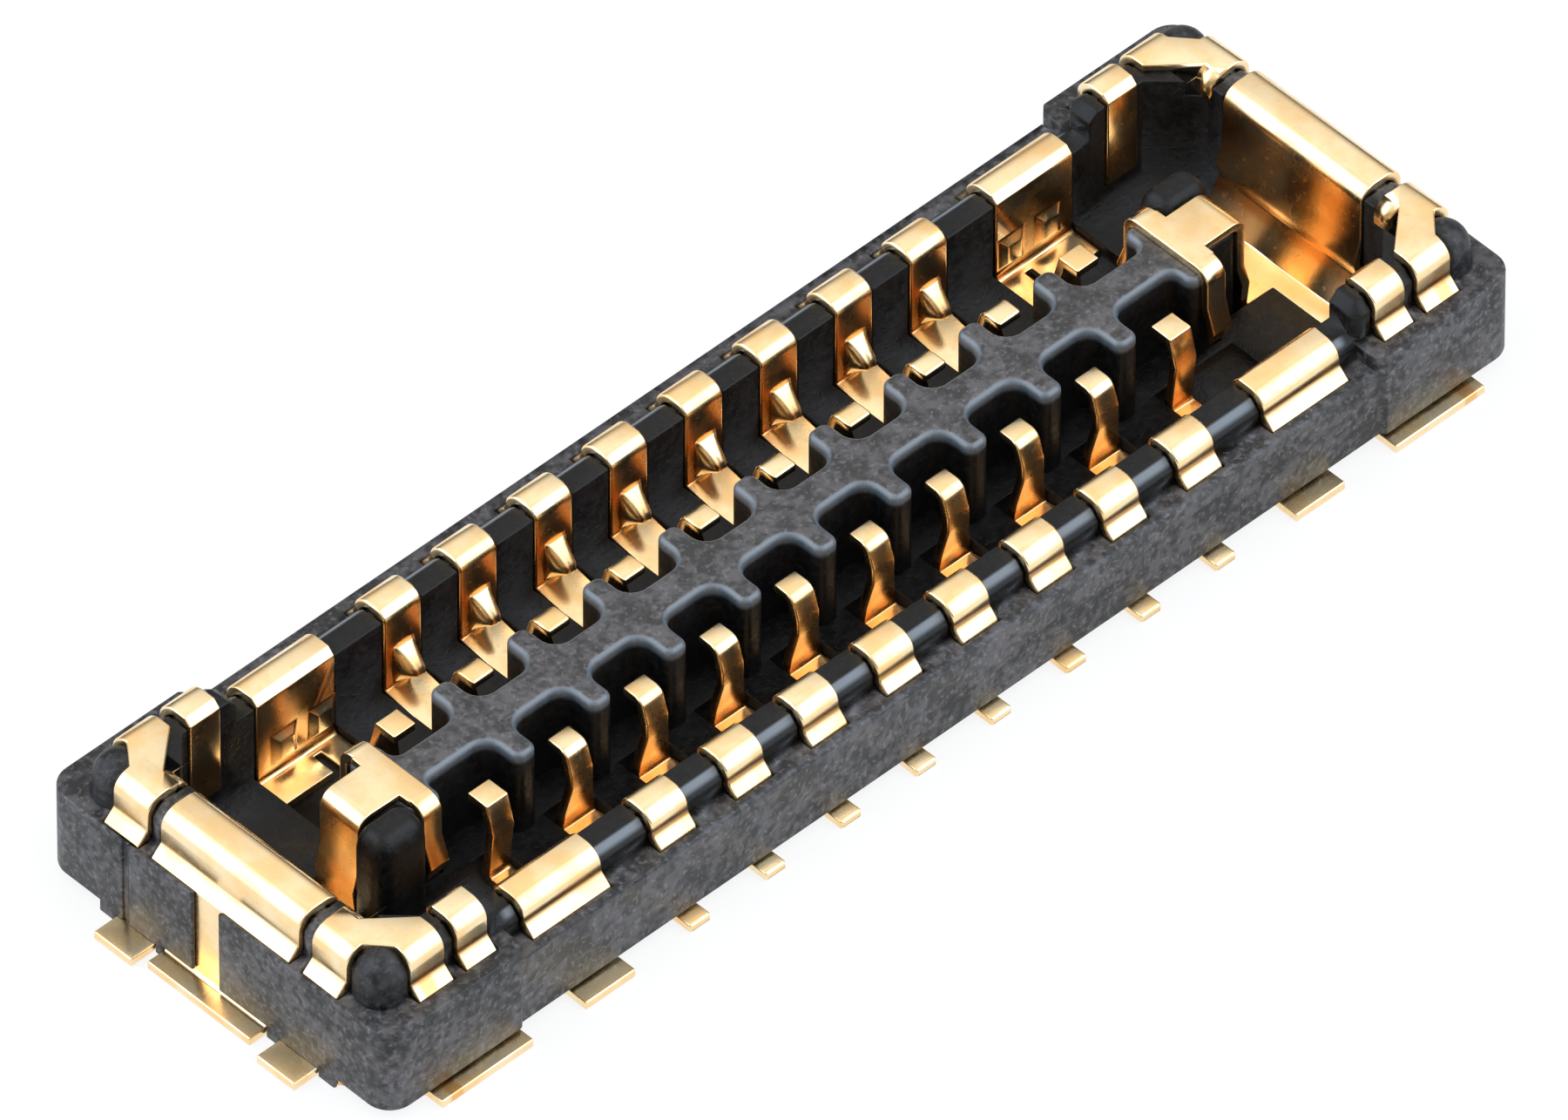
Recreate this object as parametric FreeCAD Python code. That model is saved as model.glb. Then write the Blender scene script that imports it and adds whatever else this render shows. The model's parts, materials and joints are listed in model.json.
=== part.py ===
import FreeCAD, Part
import math
import os
from FreeCAD import Vector

# Board to board receptacle: a moulded housing with an outer wall, a mating groove
# and a ribbed island, two rows of stamped signal contacts, four wide power
# contacts and one stamped end fitting at each end.
# Millimetres. X runs along the rows, Y across them, Z up from the solder plane.
# The origin is the middle of the footprint on the solder plane.

# Sheet metal shared by every stamping
SHEET = 0.036
HALF_SHEET = SHEET / 2
BEND = 0.030
HIDDEN_BEND = 0.024
TOUCH = 0.000001

# Rows of signal contacts
CONTACTS_PER_ROW = 8
PITCH = 0.350
CONTACT_WIDTH = 0.172
ARM_WIDTH = 0.102
TAIL_WIDTH = 0.095
TAIL_REACH = 0.876

# Long walls, as the metal caps wrap them
WALL_INNER = 0.575
WALL_OUTER = 0.728
CAP_TOP = 0.480
CAP_OUTER_BEND = 0.055
CAP_INNER_BEVEL = 0.018

# Raised walls round both ends
END_WALL_INNER = 2.375
END_WALL_OUTER = 2.565
END_CAP_TOP = 0.600
RAISED_FROM = 1.985

# How far the plastic of a wall stays back from the metal that wraps it
SET_BACK_OUTSIDE = 0.018
SET_BACK_INSIDE = 0.006

# Skirt at the foot of the walls
SKIRT_HALF_LENGTH = 2.630
SKIRT_HALF_WIDTH = 0.822
RAISED_SKIRT_HALF_WIDTH = 0.840
SKIRT_CORNER = 0.100
LEDGE = 0.350
RAISED_LEDGE = 0.420
UNDERSIDE = 0.050
WALL_EDGE_CUT = 0.038
STEP_CORNER = 0.030
FLOOR_TOP = 0.110

# Pad under the floor that closes it below the contacts
PAD_UNDERSIDE = 0.020
PAD_HALF_LENGTH = 2.460
PAD_HALF_WIDTH = 0.650

# Plastic feet at both sides of the end tabs, and the room round metal in the moulding
END_FOOT_OUTER = 0.575
FOOT_GAP = 0.006
SEAT_CLEARANCE = 0.004

# Rounding of the walls seen from above
WALL_CORNER = 0.110
GROOVE_CORNER_CUT = 0.145
INNER_SEAT_CUT = 0.009

# Island in the middle of the groove
ISLAND_TOP = 0.484
SPINE_HALF_WIDTH = 0.070
RIB_WIDTH = 0.096
RIB_REACH = 0.222
RIB_ROOT_ROUND = 0.070
RIB_END_ROUND = 0.035
ISLAND_EDGE_CUT = 0.028
ISLAND_HALF_LENGTH = 2.030
BLOCK_LENGTH = 0.290
BLOCK_HALF_WIDTH = 0.170
BLOCK_CORNER = 0.040

# Domed plastic boss at one side of each island end
DOME_START = 1.888
DOME_END = 2.090
DOME_HALF_WIDTH = 0.240
DOME_TOP = 0.460
DOME_EDGE_CUT = 0.030
DOME_CORNER = 0.036
DOME_CLEARANCE = 0.014

# Long feet and the foot of each outer leg
FOOT_REACH = 0.892
LEG_OUTSET = 0.047
FLARE_RISE = 0.047
FLARE_BELOW_LEDGE = 0.012

# Spring side of a contact
BELLY_HEIGHT = 0.068
SPRING_FOOT = 0.262
SPRING_BULGE = 0.285
SPRING_BULGE_HEIGHT = 0.300
SPRING_NECK = 0.258
SPRING_TOP = 0.405
SPRING_TIP = 0.178
SLOT_CLEARANCE = 0.012

# Raised bump on the inner leg of a contact
BUMP_WIDTH = 0.094
BUMP_LOW = 0.130
BUMP_HIGH = 0.270
BUMP_RISE = 0.024
BUMP_SLOPE = 0.030

# Power contacts
POWER_INNER_EDGE = 1.540
POWER_WIDTH = 0.360
POWER_TAIL_WIDTH = 0.230
POWER_ARM_WIDTH = 0.100
POWER_GAP_WIDTH = 0.034
POWER_OUTER_TONGUE = 0.440
POWER_BUMP_WIDTH = 0.120

# End fitting: curl over the end wall
CURL_HALF_WIDTH = 0.338
CURL_TAB_HALF_WIDTH = 0.250
CURL_TAB_SHIFT = -0.015
CURL_TAB_REACH = 2.700
CURL_BULGE = 0.030
CURL_BULGE_HEIGHT = 0.270
CURL_CREASE_HEIGHT = 0.200
END_INNER_BEND = 0.048
FLANGE_START = 2.290
FLANGE_END = 2.200
BRIDGE_HALF_WIDTH = 0.095

# End fitting: cap on the end of the island
ISLAND_CAP_TOP = 0.520
ISLAND_CAP_INNER = 1.780
ISLAND_CAP_HALF_WIDTH = 0.140
SIDE_FLAP_OUTER = 1.868
SIDE_FLAP_KNEE = 0.350
SIDE_FLAP_BULGE = 0.034
SIDE_FLAP_BULGE_HEIGHT = 0.250
SIDE_FLAP_LOW = 0.200
STRAP_BULGE = 0.026
STRAP_BULGE_HEIGHT = 0.190
STRAP_KNEE = 0.290
FLAP_BEND = 0.045

# End fitting: side caps and corner plates
SIDE_CAP_CENTRE = 2.135
SIDE_CAP_WIDTH = 0.140
SIDE_CAP_LEG_LOW = 0.180
SIDE_FOOT_INNER = 2.010
SIDE_FOOT_OUTER = 2.430
CORNER_SIDE_INNER = 2.262
CORNER_SIDE_OUTER = 2.420
CORNER_END_INNER = 0.400
CORNER_END_OUTER = 0.570
CORNER_DOME_X = 2.500
CORNER_DOME_Y = 0.665
CORNER_DOME_RADIUS = 0.062
CORNER_DOME_TOP = 0.590
CORNER_LIP_LOW = 0.500
CORNER_TAB_INNER = 0.306
CORNER_TAB_OUTER = 0.490
CORNER_TAB_REACH = 2.735

# Notches in the end faces of the skirt
NOTCH_LOW_SIDE = -0.010
NOTCH_HIGH_SIDE = 0.118
SLIT_CENTRE = 0.445
SLIT_WIDTH = 0.030
SLIT_DEPTH = 0.010

CUT_MARGIN = 0.500


def across(y, z):
    return Vector(0, y, z)


def along(x, z):
    return Vector(x, 0, z)


def corner_cut(before, here, after, radius):
    """Tangent points and middle of the arc that rounds one corner of a path."""
    back = (before - here).normalize()
    ahead = (after - here).normalize()
    half_angle = back.getAngle(ahead) / 2
    run = radius / math.tan(half_angle)
    bisector = (back + ahead).normalize()
    middle = here + bisector * (radius / math.sin(half_angle) - radius)
    return here + back * run, middle, here + ahead * run


def rounded_edges(points, radii, closed):
    """Straight runs joined by tangent arcs, one radius for each corner."""
    count = len(points)
    cuts = []
    for i, point in enumerate(points):
        at_end = not closed and i in (0, count - 1)
        if at_end or radii[i] == 0:
            cuts.append((point, None, point))
        else:
            cuts.append(corner_cut(points[i - 1], point, points[(i + 1) % count], radii[i]))
    edges = []
    for i in range(count):
        start, middle, end = cuts[i]
        if middle is not None:
            edges.append(Part.Arc(start, middle, end).toShape())
        if closed or i < count - 1:
            following = cuts[(i + 1) % count][0]
            if end.distanceToPoint(following) > TOUCH:
                edges.append(Part.LineSegment(end, following).toShape())
    return edges


def cut_corners(points, cuts):
    """Corners of a closed outline, each replaced by the two ends of a straight cut."""
    outline = []
    for i, (x, y) in enumerate(points):
        if cuts[i] == 0:
            outline.append((x, y))
            continue
        here = Vector(x, y, 0)
        for j in (i - 1, (i + 1) % len(points)):
            towards = (Vector(points[j][0], points[j][1], 0) - here).normalize()
            place = here + towards * cuts[i]
            outline.append((place.x, place.y))
    return outline


def prism(points, radii, low, high):
    """Upright prism on a rounded outline given as (x, y) pairs."""
    outline = [Vector(x, y, low) for x, y in points]
    face = Part.Face(Part.Wire(rounded_edges(outline, radii, True)))
    return face.extrude(Vector(0, 0, high - low))


def block(x0, x1, y0, y1, z0, z1):
    corner = Vector(min(x0, x1), min(y0, y1), min(z0, z1))
    return Part.makeBox(abs(x1 - x0), abs(y1 - y0), abs(z1 - z0), corner)


def offset_path(points, normal, distance):
    """Corners of a path moved sideways by a distance, mitred."""
    moved = []
    sides = []
    for start, end in zip(points, points[1:]):
        sides.append(normal.cross(end - start).normalize())
    for i, point in enumerate(points):
        first = sides[max(i - 1, 0)]
        second = sides[min(i, len(sides) - 1)]
        moved.append(point + (first + second) * (distance / (1 + first.dot(second))))
    return moved


def bent_sheet(points, bends, normal, width, centre):
    """Sheet metal strip: a centre line in one plane, thickened and given its width."""
    outlines = []
    for side in (1, -1):
        radii = []
        for i, bend in enumerate(bends):
            if bend == 0:
                radii.append(0)
                continue
            incoming = points[i] - points[i - 1]
            outgoing = points[i + 1] - points[i]
            turns_left = normal.dot(incoming.cross(outgoing)) > 0
            inside = turns_left == (side == 1)
            radii.append(bend - HALF_SHEET if inside else bend + HALF_SHEET)
        moved = offset_path(points, normal, side * HALF_SHEET)
        outlines.append((moved, radii))
    left, left_radii = outlines[0]
    right, right_radii = outlines[1]
    loop = left + right[::-1]
    radii = left_radii + right_radii[::-1]
    face = Part.Face(Part.Wire(rounded_edges(loop, radii, True)))
    solid = face.extrude(normal * width)
    solid.translate(normal * (centre - width / 2))
    return solid


def fused(shapes):
    whole = shapes[0].fuse(shapes[1:]) if len(shapes) > 1 else shapes[0]
    return whole.removeSplitter()


def mirrored_across_rows(shape):
    return shape.mirror(Vector(0, 0, 0), Vector(0, 1, 0))


def turned_half(shape):
    copy = shape.copy()
    copy.rotate(Vector(0, 0, 0), Vector(0, 0, 1), 180)
    return copy


def outer_leg(reach, wall_face, ledge, top):
    """Tail, leg inside the skirt, flare at the ledge and rise to the cap top."""
    face = wall_face - HALF_SHEET
    foot = face + LEG_OUTSET
    flare_low = ledge - FLARE_BELOW_LEDGE
    points = [
        (reach, HALF_SHEET),
        (foot + HIDDEN_BEND, HALF_SHEET),
        (foot, HALF_SHEET + HIDDEN_BEND),
        (foot, flare_low),
        (face, flare_low + FLARE_RISE),
        (face, top - HALF_SHEET),
    ]
    bends = [0, 0, 0, 0, 0, CAP_OUTER_BEND]
    return points, bends


def footless_leg(wall_face, ledge, top):
    """The same leg where it stands straight on the solder plane."""
    points, bends = outer_leg(0, wall_face, ledge, top)
    foot = points[2][0]
    return [(foot, 0)] + points[3:], [0] + bends[3:]


def bump(width, centre):
    """Pillow pressed out of the inner leg, towards the groove."""
    root = WALL_INNER + HALF_SHEET
    levels = [(0, root), (0, WALL_INNER), (BUMP_SLOPE, WALL_INNER - BUMP_RISE)]
    sides = []
    for inset, y in levels:
        x_half = width / 2 - inset
        low = BUMP_LOW + inset
        high = BUMP_HIGH - inset
        corners = [
            Vector(centre - x_half, y, low),
            Vector(centre + x_half, y, low),
            Vector(centre + x_half, y, high),
            Vector(centre - x_half, y, high),
        ]
        sides.append(Part.makePolygon(corners + corners[:1]))
    return Part.makeLoft(sides, True, True)


def inner_shoulder(top):
    """Bevelled corner between the cap of a long wall and its inner leg."""
    inner = WALL_INNER + HALF_SHEET
    middle = top - HALF_SHEET
    return [(inner + CAP_INNER_BEVEL, middle), (inner, middle - CAP_INNER_BEVEL)]


def contact_path(reach):
    """Centre line of a contact from tail tip to spring tip, in the YZ plane."""
    points, bends = outer_leg(reach, WALL_OUTER, LEDGE, CAP_TOP)
    inner = WALL_INNER + HALF_SHEET
    points += inner_shoulder(CAP_TOP)
    points += [
        (inner, BELLY_HEIGHT + HIDDEN_BEND),
        (inner - HIDDEN_BEND, BELLY_HEIGHT),
        (SPRING_FOOT + HIDDEN_BEND, BELLY_HEIGHT),
        (SPRING_FOOT, BELLY_HEIGHT + HIDDEN_BEND),
        (SPRING_BULGE, SPRING_BULGE_HEIGHT),
        (SPRING_NECK, SPRING_TOP),
        (SPRING_TIP, SPRING_TOP),
    ]
    bends += [0] * (len(points) - len(bends))
    return [across(y, z) for y, z in points], bends


def signal_contact():
    """One signal contact of the far row, at X = 0."""
    points, bends = contact_path(TAIL_REACH)
    strip = bent_sheet(points, bends, Vector(1, 0, 0), CONTACT_WIDTH, 0)
    trims = []
    for side in (-1, 1):
        trims.append(
            block(
                side * TAIL_WIDTH / 2,
                side * CONTACT_WIDTH,
                WALL_OUTER,
                TAIL_REACH + SHEET,
                -SHEET,
                UNDERSIDE + SHEET,
            )
        )
        trims.append(
            block(
                side * ARM_WIDTH / 2,
                side * CONTACT_WIDTH,
                0,
                SPRING_BULGE + SHEET,
                BELLY_HEIGHT + HIDDEN_BEND + SHEET,
                CAP_TOP,
            )
        )
    return fused([strip.cut(trims), bump(BUMP_WIDTH, 0)])


def power_contact():
    """One power contact of the far row, on the side of positive X."""
    centre = POWER_INNER_EDGE + POWER_WIDTH / 2
    outer_edge = POWER_INNER_EDGE + POWER_WIDTH
    arm_edge = POWER_INNER_EDGE + POWER_ARM_WIDTH
    gap_edge = arm_edge + POWER_GAP_WIDTH
    tail_edge = POWER_INNER_EDGE + POWER_TAIL_WIDTH
    points, bends = contact_path(FOOT_REACH)
    strip = bent_sheet(points, bends, Vector(1, 0, 0), POWER_WIDTH, centre)
    inner_face = WALL_INNER - SHEET
    gap = block(arm_edge, gap_edge, 0, inner_face, 0, CAP_TOP)
    tongue_end = block(gap_edge, outer_edge + SHEET, 0, POWER_OUTER_TONGUE, 0, CAP_TOP)
    beside_tail = block(
        tail_edge, outer_edge + SHEET, WALL_OUTER, FOOT_REACH + SHEET, -SHEET, UNDERSIDE + SHEET
    )
    arm_bump = bump(POWER_BUMP_WIDTH, arm_edge - POWER_ARM_WIDTH / 2 + POWER_GAP_WIDTH / 2)
    tongue_bump = bump(POWER_BUMP_WIDTH, outer_edge - POWER_BUMP_WIDTH)
    return fused([strip.cut([gap, tongue_end, beside_tail]), arm_bump, tongue_bump])


def end_curl():
    """Tab, curl over the end wall, bulged inner leg and bridge to the island, at positive X."""
    points, bends = outer_leg(CURL_TAB_REACH, END_WALL_OUTER, RAISED_LEDGE, END_CAP_TOP)
    inner = END_WALL_INNER + HALF_SHEET
    points += [
        (inner, END_CAP_TOP - HALF_SHEET),
        (inner, CURL_BULGE_HEIGHT + 3 * CURL_BULGE),
        (inner - CURL_BULGE, CURL_BULGE_HEIGHT),
        (inner - CURL_BULGE / 2, CURL_CREASE_HEIGHT),
        (FLANGE_START, BELLY_HEIGHT),
        (FLANGE_END, BELLY_HEIGHT),
    ]
    bends += [END_INNER_BEND, 0, 0, 0, 0, 0]
    path = [along(x, z) for x, z in points]
    sheet = bent_sheet(path, bends, Vector(0, 1, 0), 2 * CURL_HALF_WIDTH, 0)
    beside_tab = []
    for side in (-1, 1):
        beside_tab.append(
            block(
                END_WALL_OUTER + LEG_OUTSET,
                CURL_TAB_REACH + SHEET,
                CURL_TAB_SHIFT + side * CURL_TAB_HALF_WIDTH,
                side * 2 * CURL_HALF_WIDTH,
                -SHEET,
                UNDERSIDE,
            )
        )
    end_face = ISLAND_HALF_LENGTH + HALF_SHEET
    bridge = [
        along(FLANGE_END + SHEET, BELLY_HEIGHT),
        along(end_face + HIDDEN_BEND, BELLY_HEIGHT),
        along(end_face + STRAP_BULGE / 2, BELLY_HEIGHT + HIDDEN_BEND),
        along(end_face + STRAP_BULGE, STRAP_BULGE_HEIGHT),
        along(end_face, STRAP_KNEE),
        along(end_face, ISLAND_CAP_TOP - HALF_SHEET),
        along(ISLAND_CAP_INNER, ISLAND_CAP_TOP - HALF_SHEET),
    ]
    bridge_bends = [0, 0, 0, 0, 0, FLAP_BEND, 0]
    strap = bent_sheet(bridge, bridge_bends, Vector(0, 1, 0), 2 * BRIDGE_HALF_WIDTH, 0)
    return [sheet.cut(beside_tab), strap, island_plate()] + side_flaps()


def island_plate():
    """Flat plate on the end of the island, its outer corners cut clear of the domes."""
    outer = ISLAND_HALF_LENGTH - FLAP_BEND
    half = ISLAND_CAP_HALF_WIDTH
    points = [
        (ISLAND_CAP_INNER, -half),
        (outer, -half),
        (outer, half),
        (ISLAND_CAP_INNER, half),
    ]
    plate = prism(points, [0] * len(points), ISLAND_CAP_TOP - SHEET, ISLAND_CAP_TOP)
    notch = block(
        DOME_START - DOME_CLEARANCE,
        ISLAND_HALF_LENGTH,
        BRIDGE_HALF_WIDTH,
        BLOCK_HALF_WIDTH,
        ISLAND_TOP - SHEET,
        ISLAND_CAP_TOP + SHEET,
    )
    return plate.cut([notch, mirrored_across_rows(notch)])


def side_flaps():
    """Flaps bent down both sides of the island, flared at their lower ends."""
    face = BLOCK_HALF_WIDTH + HALF_SHEET
    path = [
        across(ISLAND_CAP_HALF_WIDTH / 2, ISLAND_CAP_TOP - HALF_SHEET),
        across(face, ISLAND_CAP_TOP - HALF_SHEET),
        across(face, SIDE_FLAP_KNEE),
        across(face + SIDE_FLAP_BULGE, SIDE_FLAP_BULGE_HEIGHT),
        across(face + SIDE_FLAP_BULGE / 2, SIDE_FLAP_LOW),
    ]
    width = SIDE_FLAP_OUTER - ISLAND_CAP_INNER
    centre = (SIDE_FLAP_OUTER + ISLAND_CAP_INNER) / 2
    flap = bent_sheet(path, [0, FLAP_BEND, 0, 0, 0], Vector(1, 0, 0), width, centre)
    return [flap, mirrored_across_rows(flap)]


def dome():
    """Boss beside the island end, its top edge cut back, at positive X and Y."""
    inner_side = BRIDGE_HALF_WIDTH + DOME_CLEARANCE
    points = [
        (DOME_START, inner_side),
        (DOME_END, inner_side),
        (DOME_END, DOME_HALF_WIDTH),
        (DOME_START, DOME_HALF_WIDTH),
    ]
    outline = cut_corners(points, [DOME_CORNER] * len(points))
    boss = prism(outline, [0] * len(outline), UNDERSIDE, DOME_TOP)
    return boss.makeChamfer(DOME_EDGE_CUT, top_edges(boss, DOME_TOP))


def side_cap():
    """Small cap over the raised long wall, at positive X and Y."""
    points, bends = outer_leg(FOOT_REACH, WALL_OUTER, RAISED_LEDGE, END_CAP_TOP)
    points += inner_shoulder(END_CAP_TOP) + [(WALL_INNER + HALF_SHEET, SIDE_CAP_LEG_LOW)]
    bends += [0] * (len(points) - len(bends))
    path = [across(y, z) for y, z in points]
    return bent_sheet(path, bends, Vector(1, 0, 0), SIDE_CAP_WIDTH, SIDE_CAP_CENTRE)


def corner_plate():
    """Plate over a corner of the wall with its legs, tab and lip, at positive X and Y."""
    side_face = WALL_OUTER - CAP_OUTER_BEND - HALF_SHEET
    end_face = END_WALL_OUTER - CAP_OUTER_BEND - HALF_SHEET
    inner_lip = END_WALL_INNER + HALF_SHEET + BEND
    points = [
        (CORNER_SIDE_INNER, side_face),
        (CORNER_SIDE_OUTER, side_face),
        (end_face, CORNER_END_OUTER),
        (end_face, CORNER_END_INNER),
        (inner_lip, CORNER_END_INNER),
        (inner_lip, CORNER_END_INNER + GROOVE_CORNER_CUT / 2),
        (CORNER_SIDE_INNER, WALL_INNER + SHEET),
    ]
    plate = prism(points, [0] * len(points), END_CAP_TOP - SHEET, END_CAP_TOP)
    dome = Part.makeCylinder(
        CORNER_DOME_RADIUS, 3 * SHEET, Vector(CORNER_DOME_X, CORNER_DOME_Y, END_CAP_TOP - 2 * SHEET)
    )
    plate = plate.cut(dome)

    side_points, side_bends = outer_leg(FOOT_REACH, WALL_OUTER, RAISED_LEDGE, END_CAP_TOP)
    side_points.append((side_face - SHEET, END_CAP_TOP - HALF_SHEET))
    side_path = [across(y, z) for y, z in side_points]
    side_width = CORNER_SIDE_OUTER - CORNER_SIDE_INNER
    side_centre = (CORNER_SIDE_OUTER + CORNER_SIDE_INNER) / 2
    side_leg = bent_sheet(side_path, side_bends + [0], Vector(1, 0, 0), side_width, side_centre)

    end_points, end_bends = footless_leg(END_WALL_OUTER, RAISED_LEDGE, END_CAP_TOP)
    end_points += [
        (END_WALL_INNER + HALF_SHEET, END_CAP_TOP - HALF_SHEET),
        (END_WALL_INNER + HALF_SHEET, CORNER_LIP_LOW),
    ]
    end_path = [along(x, z) for x, z in end_points]
    end_width = CORNER_END_OUTER - CORNER_END_INNER
    end_centre = (CORNER_END_OUTER + CORNER_END_INNER) / 2
    end_leg = bent_sheet(
        end_path, end_bends + [END_INNER_BEND, 0], Vector(0, 1, 0), end_width, end_centre
    )
    lip_trim = block(
        END_WALL_INNER - SHEET,
        END_WALL_INNER + 2 * SHEET,
        CORNER_END_INNER + GROOVE_CORNER_CUT / 2,
        CORNER_END_OUTER + SHEET,
        0,
        END_CAP_TOP + SHEET,
    )
    return [plate, side_leg, end_leg.cut(lip_trim)]


def feet():
    """Feet on the solder plane that join the legs of one corner, at positive X and Y."""
    foot_start = WALL_OUTER - HALF_SHEET + LEG_OUTSET - HALF_SHEET
    side_foot = block(SIDE_FOOT_INNER, SIDE_FOOT_OUTER, foot_start, FOOT_REACH, 0, SHEET)
    web_start = END_WALL_OUTER + LEG_OUTSET - SHEET
    end_web = block(web_start, web_start + SHEET, 0, CORNER_END_OUTER, 0, SHEET)
    end_tab = block(web_start, CORNER_TAB_REACH, CORNER_TAB_INNER, CORNER_TAB_OUTER, 0, SHEET)
    corner_web = prism(
        [
            (SIDE_FOOT_OUTER - SHEET, foot_start),
            (web_start, CORNER_END_OUTER - 2 * SHEET),
            (web_start + SHEET, CORNER_END_OUTER),
            (SIDE_FOOT_OUTER, foot_start + 2 * SHEET),
        ],
        [0, 0, 0, 0],
        0,
        SHEET,
    )
    return [side_foot, end_web, end_tab, corner_web]


def end_fitting():
    """The whole stamping of the end at positive X."""
    corner = [side_cap()] + corner_plate() + feet()
    other_corner = [mirrored_across_rows(shape) for shape in corner]
    return fused(end_curl() + corner + other_corner)


def ribs_outline():
    """Corners of the ribbed spine seen from above, with the rounding of each."""
    ribs = CONTACTS_PER_ROW + 1
    points = []
    radii = []
    for i in range(ribs):
        x = (i - (ribs - 1) / 2) * PITCH
        points += [
            (x - RIB_WIDTH / 2, SPINE_HALF_WIDTH),
            (x - RIB_WIDTH / 2, RIB_REACH),
            (x + RIB_WIDTH / 2, RIB_REACH),
            (x + RIB_WIDTH / 2, SPINE_HALF_WIDTH),
        ]
        radii += [RIB_ROOT_ROUND, RIB_END_ROUND, RIB_END_ROUND, RIB_ROOT_ROUND]
    spine_end = ISLAND_HALF_LENGTH - BLOCK_LENGTH / 2
    points = [(-spine_end, SPINE_HALF_WIDTH)] + points + [(spine_end, SPINE_HALF_WIDTH)]
    radii = [0] + radii + [0]
    half_turn = [(-x, -y) for x, y in points]
    return points + half_turn, radii + radii


def top_edges(shape, height):
    return [edge for edge in shape.Edges if edge.BoundBox.ZMin > height - TOUCH]


def island_block():
    """Wide block on the end of the island, its top edge cut back, at positive X."""
    start = ISLAND_HALF_LENGTH - BLOCK_LENGTH
    points = [
        (start, -BLOCK_HALF_WIDTH),
        (ISLAND_HALF_LENGTH, -BLOCK_HALF_WIDTH),
        (ISLAND_HALF_LENGTH, BLOCK_HALF_WIDTH),
        (start, BLOCK_HALF_WIDTH),
    ]
    outline = cut_corners(points, [0, BLOCK_CORNER, BLOCK_CORNER, 0])
    body = prism(outline, [0] * len(outline), UNDERSIDE, ISLAND_TOP)
    body = body.makeChamfer(ISLAND_EDGE_CUT, top_edges(body, ISLAND_TOP))
    corner = block(
        DOME_START,
        ISLAND_HALF_LENGTH + SHEET,
        BRIDGE_HALF_WIDTH + DOME_CLEARANCE,
        BLOCK_HALF_WIDTH + SHEET,
        UNDERSIDE,
        ISLAND_TOP + SHEET,
    )
    return body.cut([corner, mirrored_across_rows(corner)])


def island():
    """Ribbed spine between two end blocks, with a domed boss at one side of each end."""
    outline, radii = ribs_outline()
    spine = prism(outline, radii, UNDERSIDE, ISLAND_TOP)
    end = fused([island_block(), dome()])
    return fused([spine, end, turned_half(end)])


def groove():
    """Mating groove and everything above it, its corners cut at 45 degrees."""
    inner_length = END_WALL_INNER + SET_BACK_INSIDE
    inner_width = WALL_INNER + SET_BACK_INSIDE
    corners = []
    for sx, sy in ((1, 1), (-1, 1), (-1, -1), (1, -1)):
        along_side = (sx * (inner_length - GROOVE_CORNER_CUT), sy * inner_width)
        along_end = (sx * inner_length, sy * (inner_width - GROOVE_CORNER_CUT))
        corners += [along_end, along_side] if sx * sy > 0 else [along_side, along_end]
    return prism(corners, [0] * len(corners), FLOOR_TOP, END_CAP_TOP + CUT_MARGIN)


def raised_end(half_length, half_width, corner, top):
    """Raised lump of wall or skirt at positive X."""
    step = STEP_CORNER
    points = [
        (RAISED_FROM, step - half_width),
        (RAISED_FROM + step, -half_width),
        (half_length, -half_width),
        (half_length, half_width),
        (RAISED_FROM + step, half_width),
        (RAISED_FROM, half_width - step),
    ]
    return prism(points, [0, 0, corner, corner, 0, 0], UNDERSIDE, top)


def profile(points, normal, start, end):
    """Straight-sided outline carried along one axis."""
    face = Part.Face(Part.makePolygon(points + points[:1]))
    solid = face.extrude(normal * (end - start))
    solid.translate(normal * start)
    return solid


def skirt():
    """Stepped skirt: lower along the rows, higher and a little wider round the ends."""
    reach = RAISED_FROM + 2 * STEP_CORNER
    low = block(-reach, reach, -SKIRT_HALF_WIDTH, SKIRT_HALF_WIDTH, UNDERSIDE, LEDGE)
    raised = raised_end(SKIRT_HALF_LENGTH, RAISED_SKIRT_HALF_WIDTH, SKIRT_CORNER, RAISED_LEDGE)
    return [raised, turned_half(raised), low]


def low_wall(half_width, top):
    """Wall along the rows between the raised ends, its top edges cut back."""
    section = [
        (-half_width, UNDERSIDE),
        (half_width, UNDERSIDE),
        (half_width, top - WALL_EDGE_CUT),
        (half_width - WALL_EDGE_CUT, top),
        (WALL_EDGE_CUT - half_width, top),
        (-half_width, top - WALL_EDGE_CUT),
    ]
    reach = RAISED_FROM + 2 * STEP_CORNER
    return profile([across(y, z) for y, z in section], Vector(1, 0, 0), -reach, reach)


def walls():
    """Wall round the groove, lower along the rows than round the ends."""
    half_width = WALL_OUTER - SET_BACK_OUTSIDE
    half_length = END_WALL_OUTER - SET_BACK_OUTSIDE
    top = END_CAP_TOP - SHEET
    raised = raised_end(half_length, half_width, WALL_CORNER, top)
    raised = raised.makeChamfer(WALL_EDGE_CUT, top_edges(raised, top))
    return [raised, turned_half(raised), low_wall(half_width, CAP_TOP - SHEET)]


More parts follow.
